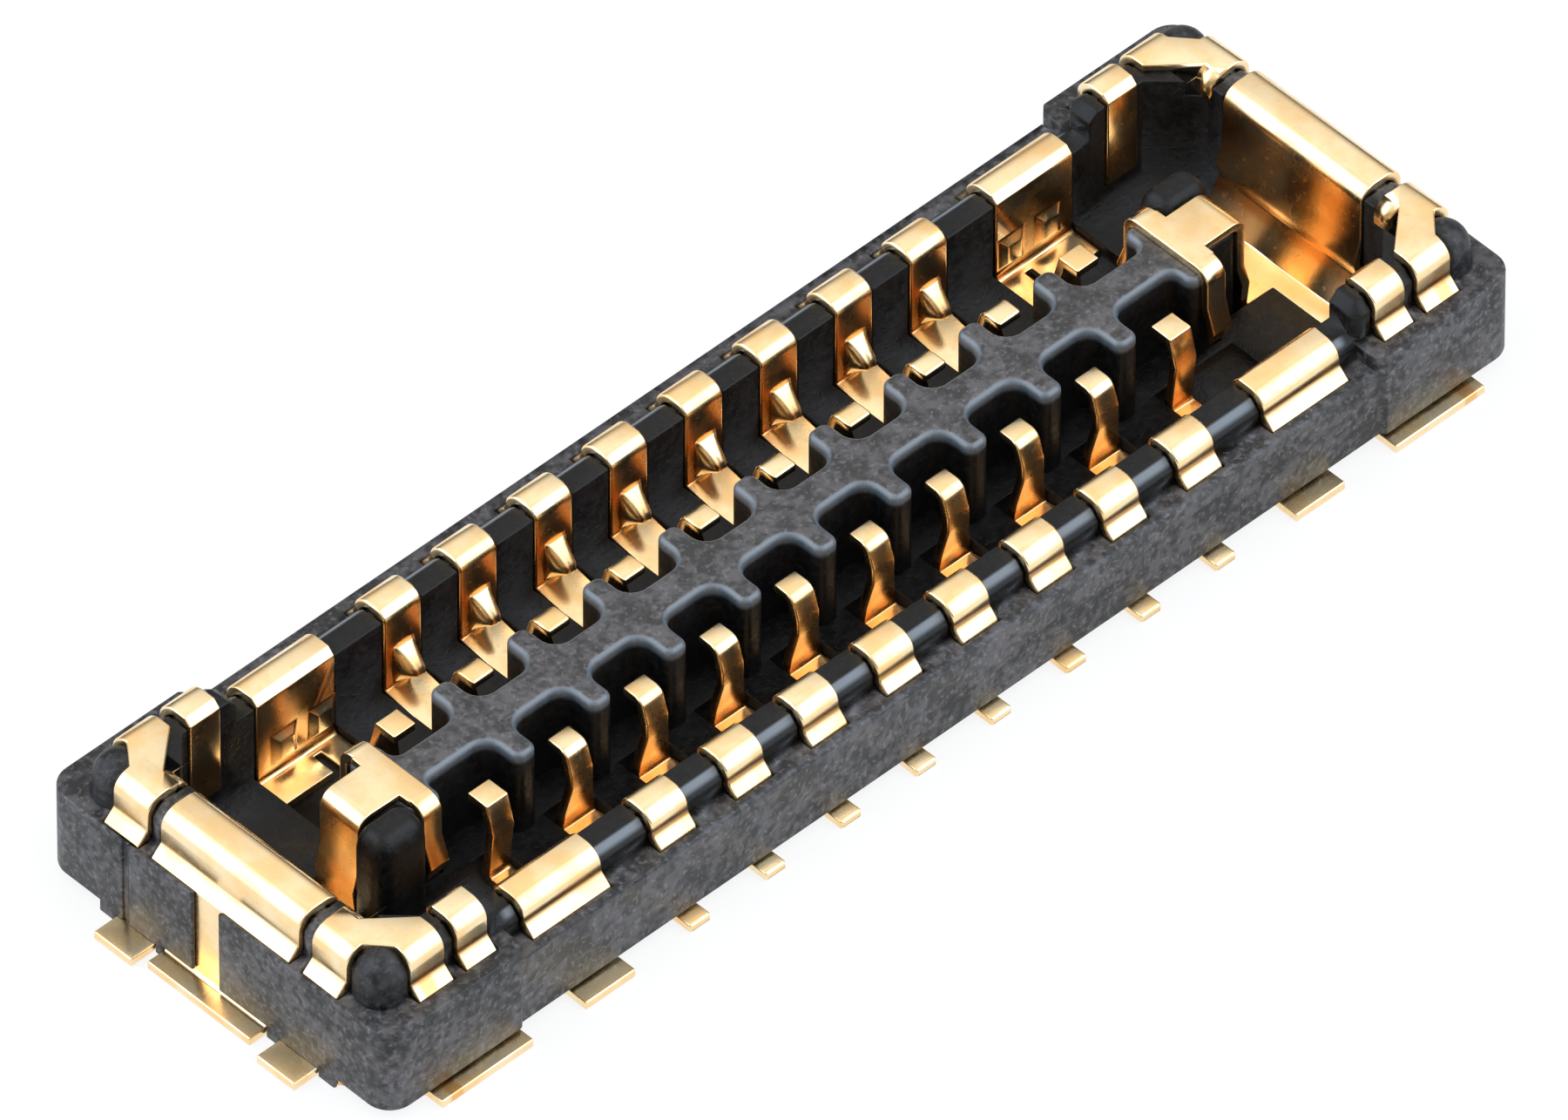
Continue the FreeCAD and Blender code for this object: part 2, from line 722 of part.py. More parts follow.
def corner_bosses():
    """Round boss that shows through the plate on each corner of the wall."""
    bosses = []
    radius = CORNER_DOME_RADIUS - SEAT_CLEARANCE
    for x in (-CORNER_DOME_X, CORNER_DOME_X):
        for y in (-CORNER_DOME_Y, CORNER_DOME_Y):
            boss = Part.makeCylinder(radius, CORNER_DOME_TOP - LEDGE, Vector(x, y, LEDGE))
            inside = block(
                x - math.copysign(radius, x) * 2,
                math.copysign(END_WALL_OUTER - SET_BACK_OUTSIDE, x),
                y - math.copysign(radius, y) * 2,
                math.copysign(WALL_OUTER - SET_BACK_OUTSIDE, y),
                LEDGE,
                CORNER_DOME_TOP,
            )
            bosses.append(boss.common(inside))
    return bosses


def underside():
    """Pad that closes the floor below the contacts, and the feet beside the end tabs."""
    pad = block(
        -PAD_HALF_LENGTH, PAD_HALF_LENGTH, -PAD_HALF_WIDTH, PAD_HALF_WIDTH, PAD_UNDERSIDE, FLOOR_TOP
    )
    shapes = [pad]
    for row in (-1, 1):
        start = CURL_TAB_SHIFT + row * (CURL_TAB_HALF_WIDTH + FOOT_GAP)
        foot = block(
            END_WALL_OUTER + LEG_OUTSET,
            SKIRT_HALF_LENGTH,
            start,
            row * END_FOOT_OUTER,
            0,
            UNDERSIDE + SHEET,
        )
        tab_slot = block(
            END_WALL_OUTER + LEG_OUTSET - SHEET,
            SKIRT_HALF_LENGTH + SHEET,
            row * (CORNER_TAB_INNER - SEAT_CLEARANCE),
            row * (CORNER_TAB_OUTER + SEAT_CLEARANCE),
            0,
            SHEET,
        )
        foot = foot.cut(tab_slot)
        shapes += [foot, turned_half(foot)]
    return shapes


def seat_outline(wall_outer, wall_inner, ledge, top, inner_cut, low_end, low):
    """Room that a stamping wrapped over a wall takes, seen along the wall."""
    leg_outer = wall_outer + LEG_OUTSET
    leg_inner = leg_outer - SHEET
    outer_face = wall_outer - SHEET
    inner_face = wall_inner + SHEET
    rest = top - SHEET
    flare_low = ledge - FLARE_BELOW_LEDGE - HALF_SHEET * math.tan(math.pi / 8) - SEAT_CLEARANCE
    return [
        (leg_inner, -SHEET),
        (leg_outer, -SHEET),
        (leg_outer, top + SHEET),
        (low_end, top + SHEET),
        (low_end, low),
        (inner_face, low),
        (inner_face, rest - inner_cut),
        (inner_face + inner_cut, rest),
        (outer_face - WALL_EDGE_CUT, rest),
        (outer_face, rest - WALL_EDGE_CUT),
        (outer_face, flare_low + FLARE_RISE),
        (leg_inner, flare_low),
    ]


def contact_seats():
    """Slots for the contacts, cut through the skirt, over the wall and into the floor."""
    slot_end = SPRING_FOOT - SHEET - 2 * SLOT_CLEARANCE
    belly_low = BELLY_HEIGHT - HALF_SHEET
    outline = seat_outline(WALL_OUTER, WALL_INNER, LEDGE, CAP_TOP, INNER_SEAT_CUT, slot_end, belly_low)
    points = [across(y, z) for y, z in outline]
    spans = []
    half = CONTACT_WIDTH / 2 + SEAT_CLEARANCE
    for i in range(CONTACTS_PER_ROW):
        x = (i - (CONTACTS_PER_ROW - 1) / 2) * PITCH
        spans.append((x - half, x + half))
    power_end = POWER_INNER_EDGE + POWER_WIDTH + SEAT_CLEARANCE
    power_start = POWER_INNER_EDGE - SEAT_CLEARANCE
    spans += [(power_start, power_end), (-power_end, -power_start)]
    seats = []
    for start, end in spans:
        seat = profile(points, Vector(1, 0, 0), start, end)
        seats += [seat, mirrored_across_rows(seat)]
    return seats


def fitting_seats():
    """Slots for the stamping of the end at positive X."""
    belly_low = BELLY_HEIGHT - HALF_SHEET
    end_cut = END_INNER_BEND - HALF_SHEET + TOUCH
    curl = seat_outline(
        END_WALL_OUTER,
        END_WALL_INNER,
        RAISED_LEDGE,
        END_CAP_TOP,
        end_cut,
        FLANGE_END - SLOT_CLEARANCE,
        belly_low,
    )
    curl_edge = CURL_HALF_WIDTH + SEAT_CLEARANCE
    seats = [profile([along(x, z) for x, z in curl], Vector(0, 1, 0), -curl_edge, curl_edge)]
    bridge_edge = BRIDGE_HALF_WIDTH + SLOT_CLEARANCE
    seats.append(
        block(ISLAND_HALF_LENGTH, FLANGE_END, -bridge_edge, bridge_edge, belly_low, FLOOR_TOP + SHEET)
    )
    side_leg = seat_outline(
        WALL_OUTER,
        WALL_INNER,
        RAISED_LEDGE,
        END_CAP_TOP,
        INNER_SEAT_CUT,
        WALL_INNER - SHEET,
        SIDE_CAP_LEG_LOW - SEAT_CLEARANCE,
    )
    side_points = [across(y, z) for y, z in side_leg]
    cap_half = SIDE_CAP_WIDTH / 2 + SEAT_CLEARANCE
    cap_seat = profile(
        side_points, Vector(1, 0, 0), SIDE_CAP_CENTRE - cap_half, SIDE_CAP_CENTRE + cap_half
    )
    above_wall = across(WALL_OUTER - SHEET - WALL_EDGE_CUT, END_CAP_TOP + SHEET)
    corner_seat = profile(
        side_points[:3] + [above_wall] + side_points[8:],
        Vector(1, 0, 0),
        CORNER_SIDE_INNER - SEAT_CLEARANCE,
        CORNER_SIDE_OUTER + SEAT_CLEARANCE,
    )
    end_leg = seat_outline(
        END_WALL_OUTER,
        END_WALL_INNER,
        RAISED_LEDGE,
        END_CAP_TOP,
        end_cut,
        END_WALL_INNER - SHEET,
        CORNER_LIP_LOW - SEAT_CLEARANCE,
    )
    end_seat = profile(
        [along(x, z) for x, z in end_leg],
        Vector(0, 1, 0),
        CORNER_END_INNER - SEAT_CLEARANCE,
        CORNER_END_OUTER + SEAT_CLEARANCE,
    )
    for seat in (cap_seat, corner_seat, end_seat):
        seats += [seat, mirrored_across_rows(seat)]
    return seats


def end_notches():
    """Notch that shows the leg of the curl, and a slit beside it, in the end face at negative X."""
    leg_face = END_WALL_OUTER + LEG_OUTSET
    top = RAISED_LEDGE + SHEET
    outside = -SKIRT_HALF_LENGTH - SHEET
    notch = block(outside, -leg_face, NOTCH_LOW_SIDE, NOTCH_HIGH_SIDE, 0, top)
    slit_low = SLIT_CENTRE - SLIT_WIDTH / 2
    slit = block(outside, SLIT_DEPTH - SKIRT_HALF_LENGTH, slit_low, slit_low + SLIT_WIDTH, 0, top)
    return [notch, slit]


def housing():
    """The moulding, with a seat for each stamping."""
    body = fused(skirt() + walls() + corner_bosses() + underside()).cut(groove())
    end_cuts = fitting_seats() + [turned_half(shape) for shape in end_notches()]
    cuts = contact_seats() + end_cuts + [turned_half(shape) for shape in end_cuts]
    return fused([body.cut(cuts), island()])


def all_pieces():
    pieces = {}
    far_contact = signal_contact()
    near_contact = mirrored_across_rows(far_contact)
    for i in range(CONTACTS_PER_ROW):
        x = (i - (CONTACTS_PER_ROW - 1) / 2) * PITCH
        for row, contact in (("far", far_contact), ("near", near_contact)):
            placed = contact.copy()
            placed.translate(Vector(x, 0, 0))
            pieces[f"signal_contact_{row}_{i + 1}"] = placed
    far_right = power_contact()
    pieces["power_contact_far_right"] = far_right
    pieces["power_contact_near_left"] = turned_half(far_right)
    near_right = mirrored_across_rows(far_right)
    pieces["power_contact_near_right"] = near_right
    pieces["power_contact_far_left"] = turned_half(near_right)
    right_fitting = end_fitting()
    pieces["end_fitting_right"] = right_fitting
    pieces["end_fitting_left"] = turned_half(right_fitting)
    pieces["housing"] = housing()
    return pieces


os.makedirs("parts", exist_ok=True)
for name, shape in all_pieces().items():
    shape.exportStep(f"parts/{name}.step")
    box = shape.BoundBox
    print(f"{name}: {len(shape.Solids)} solid, volume {shape.Volume:.5f}, valid {shape.isValid()}")
    print(f"   X {box.XMin:.3f}..{box.XMax:.3f}  Y {box.YMin:.3f}..{box.YMax:.3f}  Z up to {box.ZMax:.3f}")
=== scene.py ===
# %% [markdown]
# A board to board receptacle is a few millimetres long: a dark moulding that holds
# two rows of stamped, plated contacts and a stamped fitting at each end. The packed
# model gives the frame, so this lesson starts by loading it. Every piece made here
# keeps the frame's place and outer size, and adds what the plain solids leave out:
# rounded edges, closer shapes and a finish.

# %% Load the frame
import json
import math

import bmesh
import bpy
from mathutils import Matrix, Vector

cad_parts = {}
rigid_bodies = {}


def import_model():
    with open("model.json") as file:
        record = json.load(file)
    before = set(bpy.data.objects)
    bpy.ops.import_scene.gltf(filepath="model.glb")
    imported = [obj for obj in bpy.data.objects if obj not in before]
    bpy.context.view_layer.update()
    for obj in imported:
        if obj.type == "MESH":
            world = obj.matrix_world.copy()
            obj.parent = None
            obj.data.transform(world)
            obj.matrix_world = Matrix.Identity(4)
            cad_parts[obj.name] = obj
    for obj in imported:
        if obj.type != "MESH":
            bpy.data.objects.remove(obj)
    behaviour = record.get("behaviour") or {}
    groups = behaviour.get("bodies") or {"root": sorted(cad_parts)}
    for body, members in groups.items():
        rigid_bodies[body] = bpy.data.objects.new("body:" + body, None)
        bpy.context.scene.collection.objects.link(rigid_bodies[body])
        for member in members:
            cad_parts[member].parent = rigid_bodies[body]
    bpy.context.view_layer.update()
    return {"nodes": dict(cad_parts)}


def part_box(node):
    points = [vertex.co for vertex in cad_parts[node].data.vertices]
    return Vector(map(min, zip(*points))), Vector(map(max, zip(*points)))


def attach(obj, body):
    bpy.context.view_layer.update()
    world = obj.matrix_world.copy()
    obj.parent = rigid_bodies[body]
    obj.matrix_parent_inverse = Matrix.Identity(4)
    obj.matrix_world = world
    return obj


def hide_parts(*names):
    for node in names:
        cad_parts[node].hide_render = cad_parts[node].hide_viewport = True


for leftover in list(bpy.data.objects):
    bpy.data.objects.remove(leftover)

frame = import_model()
MM = 0.001
print("nodes", len(frame["nodes"]))

# %% [markdown]
# Shader maths reads best as arithmetic. The small class below wraps a socket, so
# that an expression such as 0.2 + 0.1 * grain adds the Math nodes by itself.

# %% Arithmetic on sockets
def plug(tree, slot, value):
    """Puts a number, a colour or another node's output into an input socket."""
    if isinstance(value, Field):
        tree.links.new(value.socket, slot)
    else:
        slot.default_value = value


class Field:
    """An output socket that works in plain arithmetic."""

    def __init__(self, tree, socket):
        self.tree = tree
        self.socket = socket

    def math(self, operation, first, second):
        node = self.tree.nodes.new("ShaderNodeMath")
        node.operation = operation
        plug(self.tree, node.inputs[0], first)
        plug(self.tree, node.inputs[1], second)
        return Field(self.tree, node.outputs[0])

    def __add__(self, other):
        return self.math("ADD", self, other)

    def __radd__(self, other):
        return self.math("ADD", other, self)

    def __sub__(self, other):
        return self.math("SUBTRACT", self, other)

    def __rsub__(self, other):
        return self.math("SUBTRACT", other, self)

    def __mul__(self, other):
        return self.math("MULTIPLY", self, other)

    def __rmul__(self, other):
        return self.math("MULTIPLY", other, self)

    def up_to(self, other):
        return self.math("MINIMUM", self, other)

    def without_sign(self):
        return self.math("ABSOLUTE", self, 0.0)


print("sockets add, subtract and multiply")

# %% [markdown]
# Any other node comes from one method, which takes its type, its settings and the
# values or links of its sockets. The Network class has that method for every kind of
# node tree. The Finish class is a network for one material, and reads its patterns
# from Object coordinates, so that they stay with a piece wherever the piece goes.

# %% Node trees and materials
class Network:
    """A node tree, and one method that adds a node to it."""

    def __init__(self, tree):
        self.tree = tree

    def node(self, kind, settings, values, output=0):
        node = self.tree.nodes.new(kind)
        for name, value in settings.items():
            setattr(node, name, value)
        for name, value in values.items():
            plug(self.tree, node.inputs[name], value)
        return Field(self.tree, node.outputs[output])

    def between(self, value, start, full):
        """0 at start and 1 at full, smooth in between. Full may be the lower one."""
        settings = {"interpolation_type": "SMOOTHSTEP"}
        values = {"Value": value, "From Min": start, "From Max": full}
        return self.node("ShaderNodeMapRange", settings, values)

    def blend_colours(self, amount, first, second):
        """Colour between two others. A Mix node's colour sockets are numbers 6, 7 and 2."""
        mix = self.tree.nodes.new("ShaderNodeMix")
        mix.data_type = "RGBA"
        plug(self.tree, mix.inputs[0], amount)
        plug(self.tree, mix.inputs[6], first)
        plug(self.tree, mix.inputs[7], second)
        return Field(self.tree, mix.outputs[2])


class Finish(Network):
    """One material with the places that its patterns are read from."""

    def __init__(self, name):
        self.material = bpy.data.materials.new(name)
        self.material.use_nodes = True
        super().__init__(self.material.node_tree)
        self.shader = self.tree.nodes["Principled BSDF"]
        self.place = self.node("ShaderNodeTexCoord", {}, {}, "Object")

    def noise(self, scale, detail):
        """Noise from 0 to 1. The scale is in patterns per metre."""
        values = {"Vector": self.place, "Scale": scale, "Detail": detail}
        return self.node("ShaderNodeTexNoise", {"noise_dimensions": "3D"}, values, "Fac")

    def reach(self, axis):
        """Distance from the middle of the part along one axis, in millimetres."""
        place = self.node("ShaderNodeSeparateXYZ", {}, {"Vector": self.place}, axis)
        return place.without_sign() * (1 / MM)

    def bump(self, height, distance, strength):
        values = {"Height": height, "Distance": distance, "Strength": strength}
        return self.node("ShaderNodeBump", {}, values)

    def set(self, **values):
        for name, value in values.items():
            plug(self.tree, self.shader.inputs[name.replace("_", " ")], value)


print("node trees and materials ready")

# %% [markdown]
# The plating is a thin, bright gold on rolled copper alloy. It is smooth enough to
# mirror the studio, but the rolling leaves a fine grain that softens each
# reflection, and the plating is a little deeper in colour in some places. Noise on
# Object coordinates gives both, so the pattern stays with the piece. Down in the
# groove a deeper orange is painted into the colour, as painted shade and a painted
# reflection of metal mirroring metal. Above each flare a brown line of painted shade
# is painted in the crease. A place on the part is a pair of distances from its
# middle, in millimetres: the colour starts at the first and is full at the second.

# %% Gold plating
GOLD_CLOUDS, GOLD_GRAIN, GOLD_PITS = 7000.0, 90000.0, 38000.0
GOLD_TONE_RANGE, GOLD_PIT_RANGE = (0.35, 0.68), (0.62, 0.72)
GOLD_BUMP = 0.8e-6
PAINTED_GROOVE_REFLECTION = (0.86, 0.38, 0.09, 1)
PAINTED_SHADE_BROWN = (0.34, 0.15, 0.045, 1)
PIT_BROWN = (0.80, 0.46, 0.17, 1)
# Places where the deeper orange of painted shade and painted reflection is painted: springs,
# inner legs and curls.
SPRING_DOWN, SPRING_IN, SPRING_ALONG = (0.44, 0.24), (0.38, 0.34), (2.10, 2.02)
LEG_DOWN, LEG_FROM, LEG_TO = (0.44, 0.30), (0.560, 0.572), (0.600, 0.590)
CURL_DOWN, CURL_FROM, CURL_TO = (0.56, 0.46), (2.325, 2.345), (2.400, 2.380)
OUTSIDE_ROWS, OUTSIDE_ENDS = (0.690, 0.710), (2.560, 2.580)
# Heights round the painted shade line, where its brown starts and is full.
SHADE_LINE_LOW, SHADE_LINE_HIGH = (-0.022, -0.006), (0.024, 0.008)


def plating(name, pale, deep, smoothest, roughest, shade_line):
    """Gold between two tones, with painted reflection and shade. The last argument is the
    height of the brown line of painted shade, in mm.
    """
    finish = Finish(name)
    along, across, up = (finish.reach(axis) for axis in "XYZ")
    fade = finish.between
    springs = fade(up, *SPRING_DOWN) * fade(across, *SPRING_IN) * fade(along, *SPRING_ALONG)
    legs = fade(up, *LEG_DOWN) * fade(across, *LEG_FROM) * fade(across, *LEG_TO)
    curls = fade(up, *CURL_DOWN) * fade(along, *CURL_FROM) * fade(along, *CURL_TO)
    painted_reflection_mask = (springs + legs + curls).up_to(1.0)
    outside = (fade(across, *OUTSIDE_ROWS) + fade(along, *OUTSIDE_ENDS)).up_to(1.0)
    above_low = fade(up, *(shade_line + step for step in SHADE_LINE_LOW))
    below_high = fade(up, *(shade_line + step for step in SHADE_LINE_HIGH))
    cloud = finish.noise(GOLD_CLOUDS, 3.0)
    grain = finish.noise(GOLD_GRAIN, 2.0)
    pits = fade(finish.noise(GOLD_PITS, 1.0), *GOLD_PIT_RANGE)
    tone = fade(cloud, *GOLD_TONE_RANGE)
    colour = finish.blend_colours(tone, pale, deep)
    # Painted shade and painted reflection: a deeper orange painted down in the groove.
    colour = finish.blend_colours(0.65 * painted_reflection_mask, colour, PAINTED_GROOVE_REFLECTION)
    # Painted shade: a brown line painted in the crease above each flare, on outward faces.
    colour = finish.blend_colours(0.8 * above_low * below_high * outside, colour, PAINTED_SHADE_BROWN)
    colour = finish.blend_colours(0.10 * pits, colour, PIT_BROWN)
    roughness = smoothest + (roughest - smoothest) * tone + 0.05 * pits
    finish.set(Base_Color=colour, Metallic=1.0, Roughness=roughness)
    finish.set(Normal=finish.bump(grain + 0.6 * cloud, GOLD_BUMP, 0.2))
    return finish.material


# The last number of each call is the height of the painted shade line, in mm.
contact_gold = plating(
    "contact_gold", (1.0, 0.80, 0.49, 1), (1.0, 0.67, 0.31, 1), 0.21, 0.30, shade_line=0.398
)
fitting_gold = plating(
    "fitting_gold", (1.0, 0.81, 0.51, 1), (1.0, 0.69, 0.34, 1), 0.19, 0.28, shade_line=0.468
)
print("plating", contact_gold.name, fitting_gold.name)

# %% [markdown]
# The moulding is a glass-filled engineering plastic, almost black, with a satin skin
# that mottles where the short fibres and the flow marks come near the surface. The
# skin is the shader's coat: its weight varies with a fine and a coarse noise. Shade
# is painted into the inside of the groove and the seats: there the colour is painted
# near black and the coat is taken away. The balls at the corners are smooth and dark,
# without that skin. A pale blue highlight is painted on the upper edges of the walls
# and of the island, where the coat is stronger too.

# %% Moulded plastic
FLOW_MARKS, FIBRES, SPECKS = 6500.0, 30000.0, 52000.0
PLASTIC_TONE_RANGE, SPECK_RANGE = (0.39, 0.62), (0.58, 0.68)
PLASTIC_BUMP = 2.6e-6
DARKEST, LIGHTEST = (0.006, 0.006, 0.007, 1), (0.044, 0.041, 0.046, 1)
SPECK_GREY = (0.13, 0.13, 0.14, 1)
# Near black, painted as shade inside the groove and the seats, and the balls' own dark.
PAINTED_SHADE_AND_BALL_BLACK = (0.002, 0.002, 0.002, 1)
# Pale blue of a painted highlight on the upper edges of the walls and the island rim.
PAINTED_HIGHLIGHT_BLUE = (0.08, 0.12, 0.16, 1)
# Where shade is painted: inside the groove and the seats, but not on the island top.
GROOVE_ACROSS, GROOVE_ALONG = (0.735, 0.715), (2.46, 2.40)
TOP_ACROSS, TOP_ALONG, TOP_UP = (0.30, 0.25), (1.89, 1.85), (0.43, 0.465)
# Where the pale blue highlight is painted: the island rim and the upper wall edges.
RIM_UP = (0.4835, 0.479)
EDGE_UP, EDGE_ALONG = (0.414, 0.430), (1.97, 1.93)
EDGE_FROM, EDGE_TO = (0.664, 0.676), (0.725, 0.712)
BALL_ALONG, BALL_ACROSS = 2.47, 0.635
BALL_SQUARED = (0.0130, 0.0100)


def moulding():
    finish = Finish("moulding_plastic")
    along, across, up = (finish.reach(axis) for axis in "XYZ")
    fade = finish.between
    # Painted shade: mask of the groove and the seats, painted near black below.
    painted_groove_shade = fade(across, *GROOVE_ACROSS) * fade(along, *GROOVE_ALONG)
    top = fade(across, *TOP_ACROSS) * fade(up, *TOP_UP) * fade(along, *TOP_ALONG)
    off_x, off_y = along - BALL_ALONG, across - BALL_ACROSS
    ball = fade(off_x * off_x + off_y * off_y, *BALL_SQUARED)
    skin_less_painted_shade = 1 - (0.92 * painted_groove_shade * (1 - top) + 0.6 * ball).up_to(1.0)
    # Painted highlight: these masks place the pale blue painted on the upper wall edges and the
    # island rim.
    wall_edge_highlight = fade(up, *EDGE_UP) * fade(along, *EDGE_ALONG)
    wall_edge_highlight = wall_edge_highlight * fade(across, *EDGE_FROM) * fade(across, *EDGE_TO)
    edge = wall_edge_highlight + top * fade(up, *RIM_UP)
    flow = finish.noise(FLOW_MARKS, 4.0)
    fibre = finish.noise(FIBRES, 3.0)
    speck = fade(finish.noise(SPECKS, 1.0), *SPECK_RANGE)
    tone = fade(0.4 * flow + 0.6 * fibre, *PLASTIC_TONE_RANGE)
    colour = finish.blend_colours(tone, DARKEST, LIGHTEST)
    colour = finish.blend_colours(0.3 * speck, colour, SPECK_GREY)
    # Painted shade: near black painted in the groove and the seats; the balls are dark too.
    colour = finish.blend_colours(skin_less_painted_shade, PAINTED_SHADE_AND_BALL_BLACK, colour)
    # Painted highlight: pale blue painted on the upper edges.
    colour = finish.blend_colours(0.55 * edge.up_to(1.0), colour, PAINTED_HIGHLIGHT_BLUE)
    # The coat is taken away where shade is painted, and is stronger under the painted
    # highlight.
    weight = skin_less_painted_shade * (0.17 + 0.34 * tone + 0.15 * speck) + 0.9 * edge + 0.25 * top
    finish.set(Base_Color=colour, Roughness=0.42 + 0.15 * tone, Coat_Weight=weight.up_to(1.0))
    finish.set(IOR=1.35, Coat_IOR=1.95, Coat_Roughness=0.5)
    height = fibre + 0.4 * speck + 0.6 * flow
    finish.set(Normal=finish.bump(height, PLASTIC_BUMP, 0.8))
    return finish.material


plastic = moulding()
print("plastic", plastic.name)

# %% [markdown]
# The long rows are one contact repeated: a strip of sheet metal that starts as a
# solder tail, climbs inside the skirt, wraps over the wall, drops down the inside of
# the groove, crosses below the floor and comes up again as a spring. Its path is a
# few corners, each with a bend radius and a width, and the bends are worked out.

# %% Path of a bent strip
ARC_STEP = math.radians(11)


def corner_arc(before, here, after, radius):
    """Places round one bend, from tangent point to tangent point."""
    back = (before - here).normalized()
    ahead = (after - here).normalized()
    half_angle = back.angle(ahead) / 2
    run = radius / math.tan(half_angle)
    centre = here + (back + ahead).normalized() * radius / math.sin(half_angle)
    turn = math.pi - 2 * half_angle
    steps = max(2, math.ceil(turn / ARC_STEP))
    start = here + back * run - centre
    cross = start.y * back.x - start.x * back.y
    sign = 1 if cross > 0 else -1
    places = []
    for i in range(steps + 1):
        places.append(centre + start @ Matrix.Rotation(-sign * turn * i / steps, 2))
    return places


def strip_stations(corners):
    """Places and half widths along a strip, from (a, z, bend radius, width) corners."""
    stations = []
    for i, (a, z, radius, width) in enumerate(corners):
        here = Vector((a, z))
        if radius == 0 or i in (0, len(corners) - 1):
            stations.append((here, width / 2))
            continue
        before = Vector(corners[i - 1][:2])
        after = Vector(corners[i + 1][:2])
        for place in corner_arc(before, here, after, radius):
            stations.append((place, width / 2))
    return stations


print("steps in a right angle", math.ceil(math.pi / 2 / ARC_STEP))

# %% [markdown]
# Stamped sheet has its edges slightly rounded, and that catches the light. A curve
# object with a bevel would scale the thickness together with the width, so the code
# sweeps a rounded section itself: one ring of points at each place of the path, and
# faces between the rings. The thickness and the edge are in millimetres.

# %% Sweep of a strip
SHEET = 0.036
EDGE = 0.009
EDGE_STEPS = 3
TIP_CUT = 0.7
LEAST_MITRE = 0.7


def section(half_width, half_sheet, edge):
    """Rounded rectangle, as (across, out) pairs."""
    pairs = []
    corners = [(1, 1, 0), (-1, 1, 90), (-1, -1, 180), (1, -1, 270)]
    for side, face, start in corners:
        for step in range(EDGE_STEPS + 1):
            angle = math.radians(start + 90 / EDGE_STEPS * step)
            across = side * (half_width - edge) + edge * math.cos(angle)
            out = face * (half_sheet - edge) + edge * math.sin(angle)
            pairs.append((across, out))
    return pairs


def sweep_strip(bm, corners, to_world):
    """Adds one strip of sheet metal to a mesh. to_world places (along, across, up)."""
    stations = strip_stations(corners)
    places = [place for place, _ in stations]
    rings = []
    last = len(stations) - 1
    for i, (place, half_width) in enumerate(stations):
        ahead = places[min(i + 1, last)] - places[max(i - 1, 0)]
        ahead.normalize()
        out = Vector((-ahead.y, ahead.x))
        mitre = 1.0
        if 0 < i < last:
            leg = (places[i + 1] - place).normalized()
            mitre = 1 / max(LEAST_MITRE, abs(ahead.dot(leg)))
        if i in (0, last):
            shift = ahead * (EDGE if i == 0 else -EDGE)
            cut = EDGE * TIP_CUT
            inner = section(half_width, SHEET / 2, EDGE)
            outer = section(half_width - cut, SHEET / 2 - cut, EDGE - cut)
            pairs = [(shift, inner), (Vector((0, 0)), outer)]
            if i == 0:
                pairs.reverse()
        else:
            pairs = [(Vector((0, 0)), section(half_width, SHEET / 2, EDGE))]
        for shift, outline in pairs:
            ring = []
            for across, height in outline:
                spot = place + shift + out * height * mitre
                ring.append(bm.verts.new(to_world(spot.x, across, spot.y)))
            rings.append(ring)
    count = len(rings[0])
    for first, second in zip(rings, rings[1:]):
        for j in range(count):
            k = (j + 1) % count
            bm.faces.new((first[j], first[k], second[k], second[j]))
    bm.faces.new(rings[0][::-1])
    bm.faces.new(rings[-1])


print("strip of", len(section(0.05, SHEET / 2, EDGE)), "points round")

# %% [markdown]
# The outer sizes of the contact come from the frame: its box gives the reach of the
# tail and of the spring tip, the width and the height of the cap. The rest are the
# sizes of a sheet that is wrapped round the wall with tight bends, in millimetres.

# %% Corners of a signal contact
contact_low, contact_high = (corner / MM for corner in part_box("signal_contact_far_1"))
CONTACT_WIDTH = contact_high[0] - contact_low[0]
TAIL_REACH = contact_high[1]
CAP_TOP = contact_high[2]
SPRING_TIP = contact_low[1]
HALF_SHEET = SHEET / 2
TAIL_WIDTH, ARM_WIDTH = 0.095, 0.102
LEG_LINE, WALL_OUTER_LINE, WALL_INNER_LINE = 0.757, 0.710, 0.593
TAIL_BEND, FLARE_LOW_BEND, FLARE_HIGH_BEND = 0.024, 0.040, 0.056
CAP_OUTER_BEND, CAP_INNER_BEND = 0.052, 0.034
LEG_NARROW_END, LEG_FULL_START = 0.090, 0.110
FLARE_LOW, FLARE_HIGH = 0.338, 0.385
BELLY, BELLY_SLOPE, BELLY_SAG = 0.068, 0.034, 0.012
BELLY_LOWEST, SPRING_FOOT = 0.330, 0.262
FOOT_BEND, BELLY_BEND, SPRING_BEND = 0.030, 0.040, 0.050
SPRING_ROOT, BULGE_LOW, BULGE_HIGH = (0.268, 0.150), (0.285, 0.262), (0.283, 0.320)
SPRING_NECK, SPRING_BELOW_CAP = 0.258, 0.057


